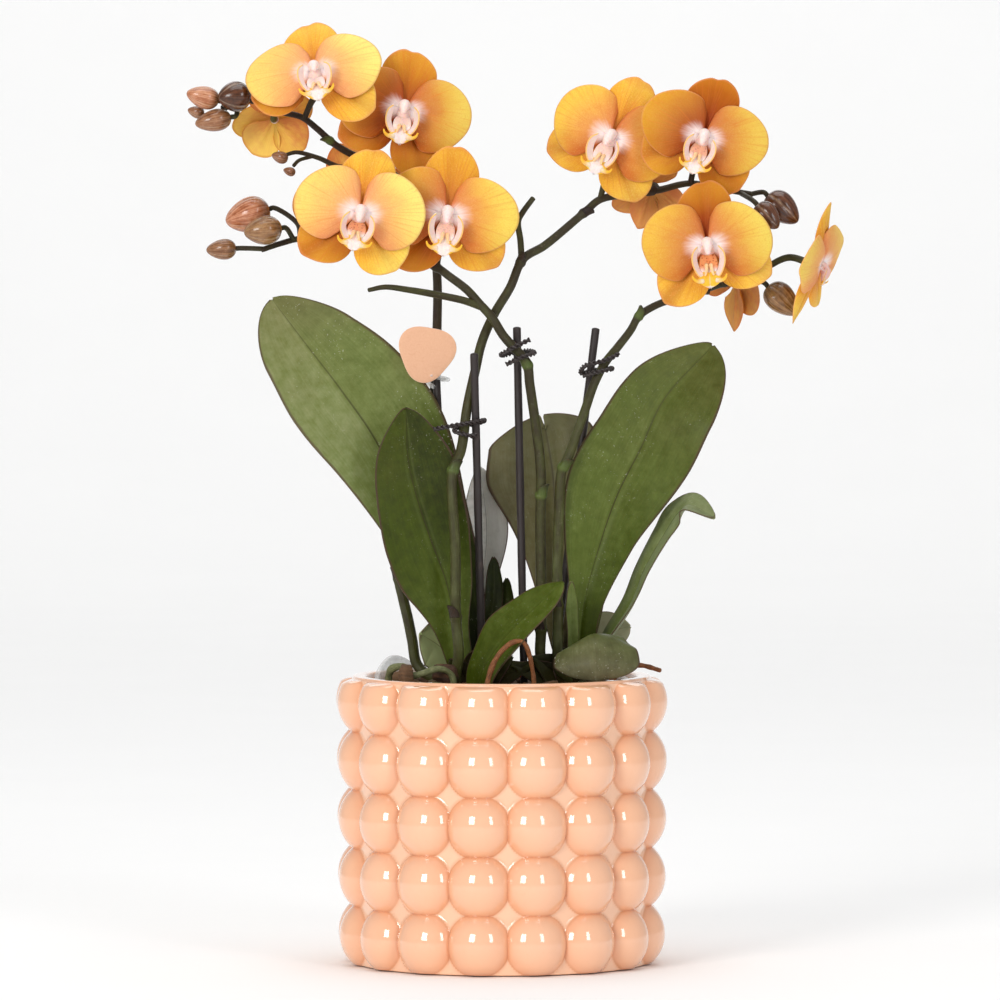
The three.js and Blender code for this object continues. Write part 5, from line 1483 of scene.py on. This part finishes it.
TIES = {
    "twist_tie_1": [
        (-25, -13, 198.5), (-18, -14.4, 199.8), (-13, -14, 200.6), (-8.7, -11.4, 201.3),
        (-6.2, -8.2, 201.6), (-8.5, -5, 200.6), (-13.6, -6, 199.4), (-17.4, -9.6, 198),
        (-14.5, -13.8, 196.9), (-11, -13, 196), (-9, -12, 196.5),
    ],
    "twist_tie_2": [
        (1.8, -10, 222.4), (6.8, -12.8, 224.8), (12, -9.4, 226.4), (10, -3.5, 227.2), (5.5, 0.8, 226.6),
        (1.2, -2.8, 225.6), (0, -8, 226), (4, -12.2, 228.4), (10.5, -11.5, 231.5),
    ],
    "twist_tie_3": [
        (30.2, -1.8, 218), (35.2, -6.2, 219.4), (40.4, -4.2, 220.4), (40, 1.5, 220.6), (33.8, 5.8, 219.6),
        (29.6, 2.6, 218.8), (31, -3.6, 221.8), (36.5, -6, 223.2), (41, -5.6, 224.8), (43.4, -4.8, 226.2),
    ],
}
STRAND = {"radius": 0.55, "offset": 0.45, "pitch": 3.6, "sides": 10, "spacing": 0.35}
CLIP_PATH = [
    (-26, 9.5, 218), (-25.6, 11.4, 217.4), (-21.4, 13.2, 216.6), (-20, 18.5, 216), (-24.5, 24.6, 216),
    (-29, 20, 216), (-28.2, 16.8, 215.4), (-25.2, 14, 213.4),
]
CLIP_RADIUS = 0.85
TAG = {"middle": (-27.8, 8.8, 226.3), "thickness": 0.5, "radius": 10.4, "tilt": 6, "corner_turn": 20}


def twist_tie(path):
    """Two dark strands wound round each other."""
    length = evenly(path, 4)[3]
    steps = int(length / STRAND["spacing"])
    centres, tangents, normals, _ = evenly(path, steps)
    binormals = np.cross(tangents, normals)
    radii = np.full(steps + 1, STRAND["radius"])
    parts = []
    for start in (0, math.pi):
        wound = np.linspace(0, 2 * math.pi * length / STRAND["pitch"], steps + 1) + start
        offset = normals * np.cos(wound)[:, None] + binormals * np.sin(wound)[:, None]
        middle = centres + offset * STRAND["offset"]
        parts.append(tube(rings_round(middle, tangents, normals, radii, STRAND["sides"]), WIRE))
    return parts


def plant_tag():
    """A bare card cut as a triangle with round sides and corners, bent a little."""
    turns = np.radians(np.arange(0, 360, 4))
    reach = TAG["radius"] * (1 + 0.1 * np.cos(3 * (turns - math.radians(TAG["corner_turn"]))))
    tilt = math.radians(TAG["tilt"])
    rings, edge = [], []
    thick, inwards = TAG["thickness"], np.linspace(0.985, 0.02, 9)
    levels = [(share, 0.0) for share in inwards[::-1]] + [(1.0, 0.07), (1.0, thick - 0.07)]
    levels += [(share, thick) for share in inwards]
    for share, depth in levels:
        x, z = share * reach * np.cos(turns), share * reach * np.sin(turns)
        y = -depth - 0.004 * x ** 2
        rings.append(np.stack([x, y * math.cos(tilt) - z * math.sin(tilt),
                               y * math.sin(tilt) + z * math.cos(tilt)], axis=1) + np.array(TAG["middle"]))
        edge += [1.0 if share == 1 else 0.0] * len(turns)
    return [tube(np.array(rings), CARD, edge=np.array(edge))]


# Assembly

make_piece("beaded_cachepot", cachepot(), "cachepot", "cachepot")
make_piece("clear_nursery_pot", nursery_pot(), "clear_plastic", "nursery_pot")
make_piece("bark_bed", potting_bark(), "bark", "potting_bark")
for node, chip in CHIPS.items():
    make_piece(f"rough_{node}", [lump(*chip)], "bark", node)
for node, spec in ROOTS.items():
    make_piece(f"grown_{node}", aerial_root(**spec), "root", node)
for node, path in CROWNS.items():
    make_piece(f"sheathed_{node}", crown(path), "leaf", node)
for node, path in STICKS.items():
    make_piece(f"stained_{node}", stick(path), "stick", node)
for node in SPIKES:
    make_piece(f"grown_{node}", spike(node), "stem", node)
for node, bud in BUDS.items():
    looks = {key: bud[key] for key in ("base", "tip", "radius", "deep", "olive")}
    make_piece(f"seamed_{node}", [bud_body(seed=bud["radius"], **looks)], "bud", node)
for node, spec in LEAVES.items():
    make_piece(f"veined_{node}", leaf(**spec), "leaf", node)
for node in FLOWERS:
    make_piece(f"open_{node}", flower(node), "petal", node)
for node, path in TIES.items():
    make_piece(f"wound_{node}", twist_tie(path), "tie", node)
tag_clip = [rod(CLIP_PATH, CLIP_RADIUS, CLEAR, sides=16, spacing=0.4)]
make_piece("clear_tag_clip", tag_clip, "clear_plastic", "tag_clip")
make_piece("bare_plant_tag", plant_tag(), "tag", "plant_tag")


# Studio

PLANT_MIDDLE = (0, 0, 0.17)


def softbox(name, place, size, watts, colour="FFFFFF", target=PLANT_MIDDLE):
    """A rectangular lamp that looks at the target; places are in metres."""
    light = bpy.data.lights.new(name, "AREA")
    light.shape = "RECTANGLE"
    light.size, light.size_y = size
    light.energy = watts
    light.color = rgb(colour)[:3]
    made = bpy.data.objects.new(name, light)
    bpy.context.scene.collection.objects.link(made)
    made.location = place
    made.rotation_euler = (Vector(target) - Vector(place)).to_track_quat("-Z", "Y").to_euler()


def backdrop():
    """A pale floor that curves up into a wall far behind."""
    m = Material("pale_paper", {"Specular IOR Level": 0.1})
    fibre = m.noise(m.places(), 9, 4)
    m.finish(m.mix(fibre, "FAFAF9", "FDFDFC"), 0.9, m.bump(m.noise(m.places(), 700, 2), 0.05, 0.2))
    half_width, front, bend, radius, top = 4.0, -4.0, 2.6, 2.0, 5.0
    profile = [(front, 0.0), (bend, 0.0)]
    turns = np.linspace(0.1, 0.5 * math.pi, 16)
    profile += [(bend + radius * math.sin(turn), radius * (1 - math.cos(turn))) for turn in turns]
    profile.append((bend + radius, top))
    points = [(x, y, z) for y, z in profile for x in (-half_width, half_width)]
    faces = [(2 * i, 2 * i + 1, 2 * i + 3, 2 * i + 2) for i in range(len(profile) - 1)]
    mesh = bpy.data.meshes.new("studio_floor")
    mesh.from_pydata(points, [], faces)
    mesh.materials.append(m.material)
    mesh.polygons.foreach_set("use_smooth", [True] * len(faces))
    made = bpy.data.objects.new("studio_floor", mesh)
    bpy.context.scene.collection.objects.link(made)


CAMERA = {"at": (-0.00055, -3.0, 0.291), "looks_down": 0.03969, "lens": 291.9, "sensor": 36, "sees_to": 30}


def camera():
    """A long lens 3 m in front, a little above the plant's middle and looking slightly down."""
    lens = bpy.data.cameras.new("camera")
    lens.lens, lens.sensor_width, lens.clip_end = CAMERA["lens"], CAMERA["sensor"], CAMERA["sees_to"]
    made = bpy.data.objects.new("camera", lens)
    made.location = CAMERA["at"]
    made.rotation_euler = (0.5 * math.pi - CAMERA["looks_down"], 0, 0)
    bpy.context.scene.collection.objects.link(made)
    bpy.context.scene.camera = made


def world():
    """An even pale surrounding light."""
    made = bpy.data.worlds.new("studio")
    made.use_nodes = True
    background = made.node_tree.nodes["Background"]
    background.inputs["Color"].default_value = rgb("F3F3F5")
    background.inputs["Strength"].default_value = 0.5
    bpy.context.scene.world = made


camera()
backdrop()
world()
softbox("window_left", (-1.3, -2.25, 0.95), (0.8, 1.05), 31, "FFFDFA")
softbox("window_right", (1.4, -2.2, 0.95), (0.5, 1.15), 13, "FAFBFF")
softbox("overhead", (0.0, 0.1, 2.4), (1.8, 1.8), 24)
softbox("floor_wash", (0.0, 3.3, 2.4), (3.0, 2.4), 26, target=(0, 3.6, 0))
bpy.context.scene.view_settings.view_transform = "Standard"
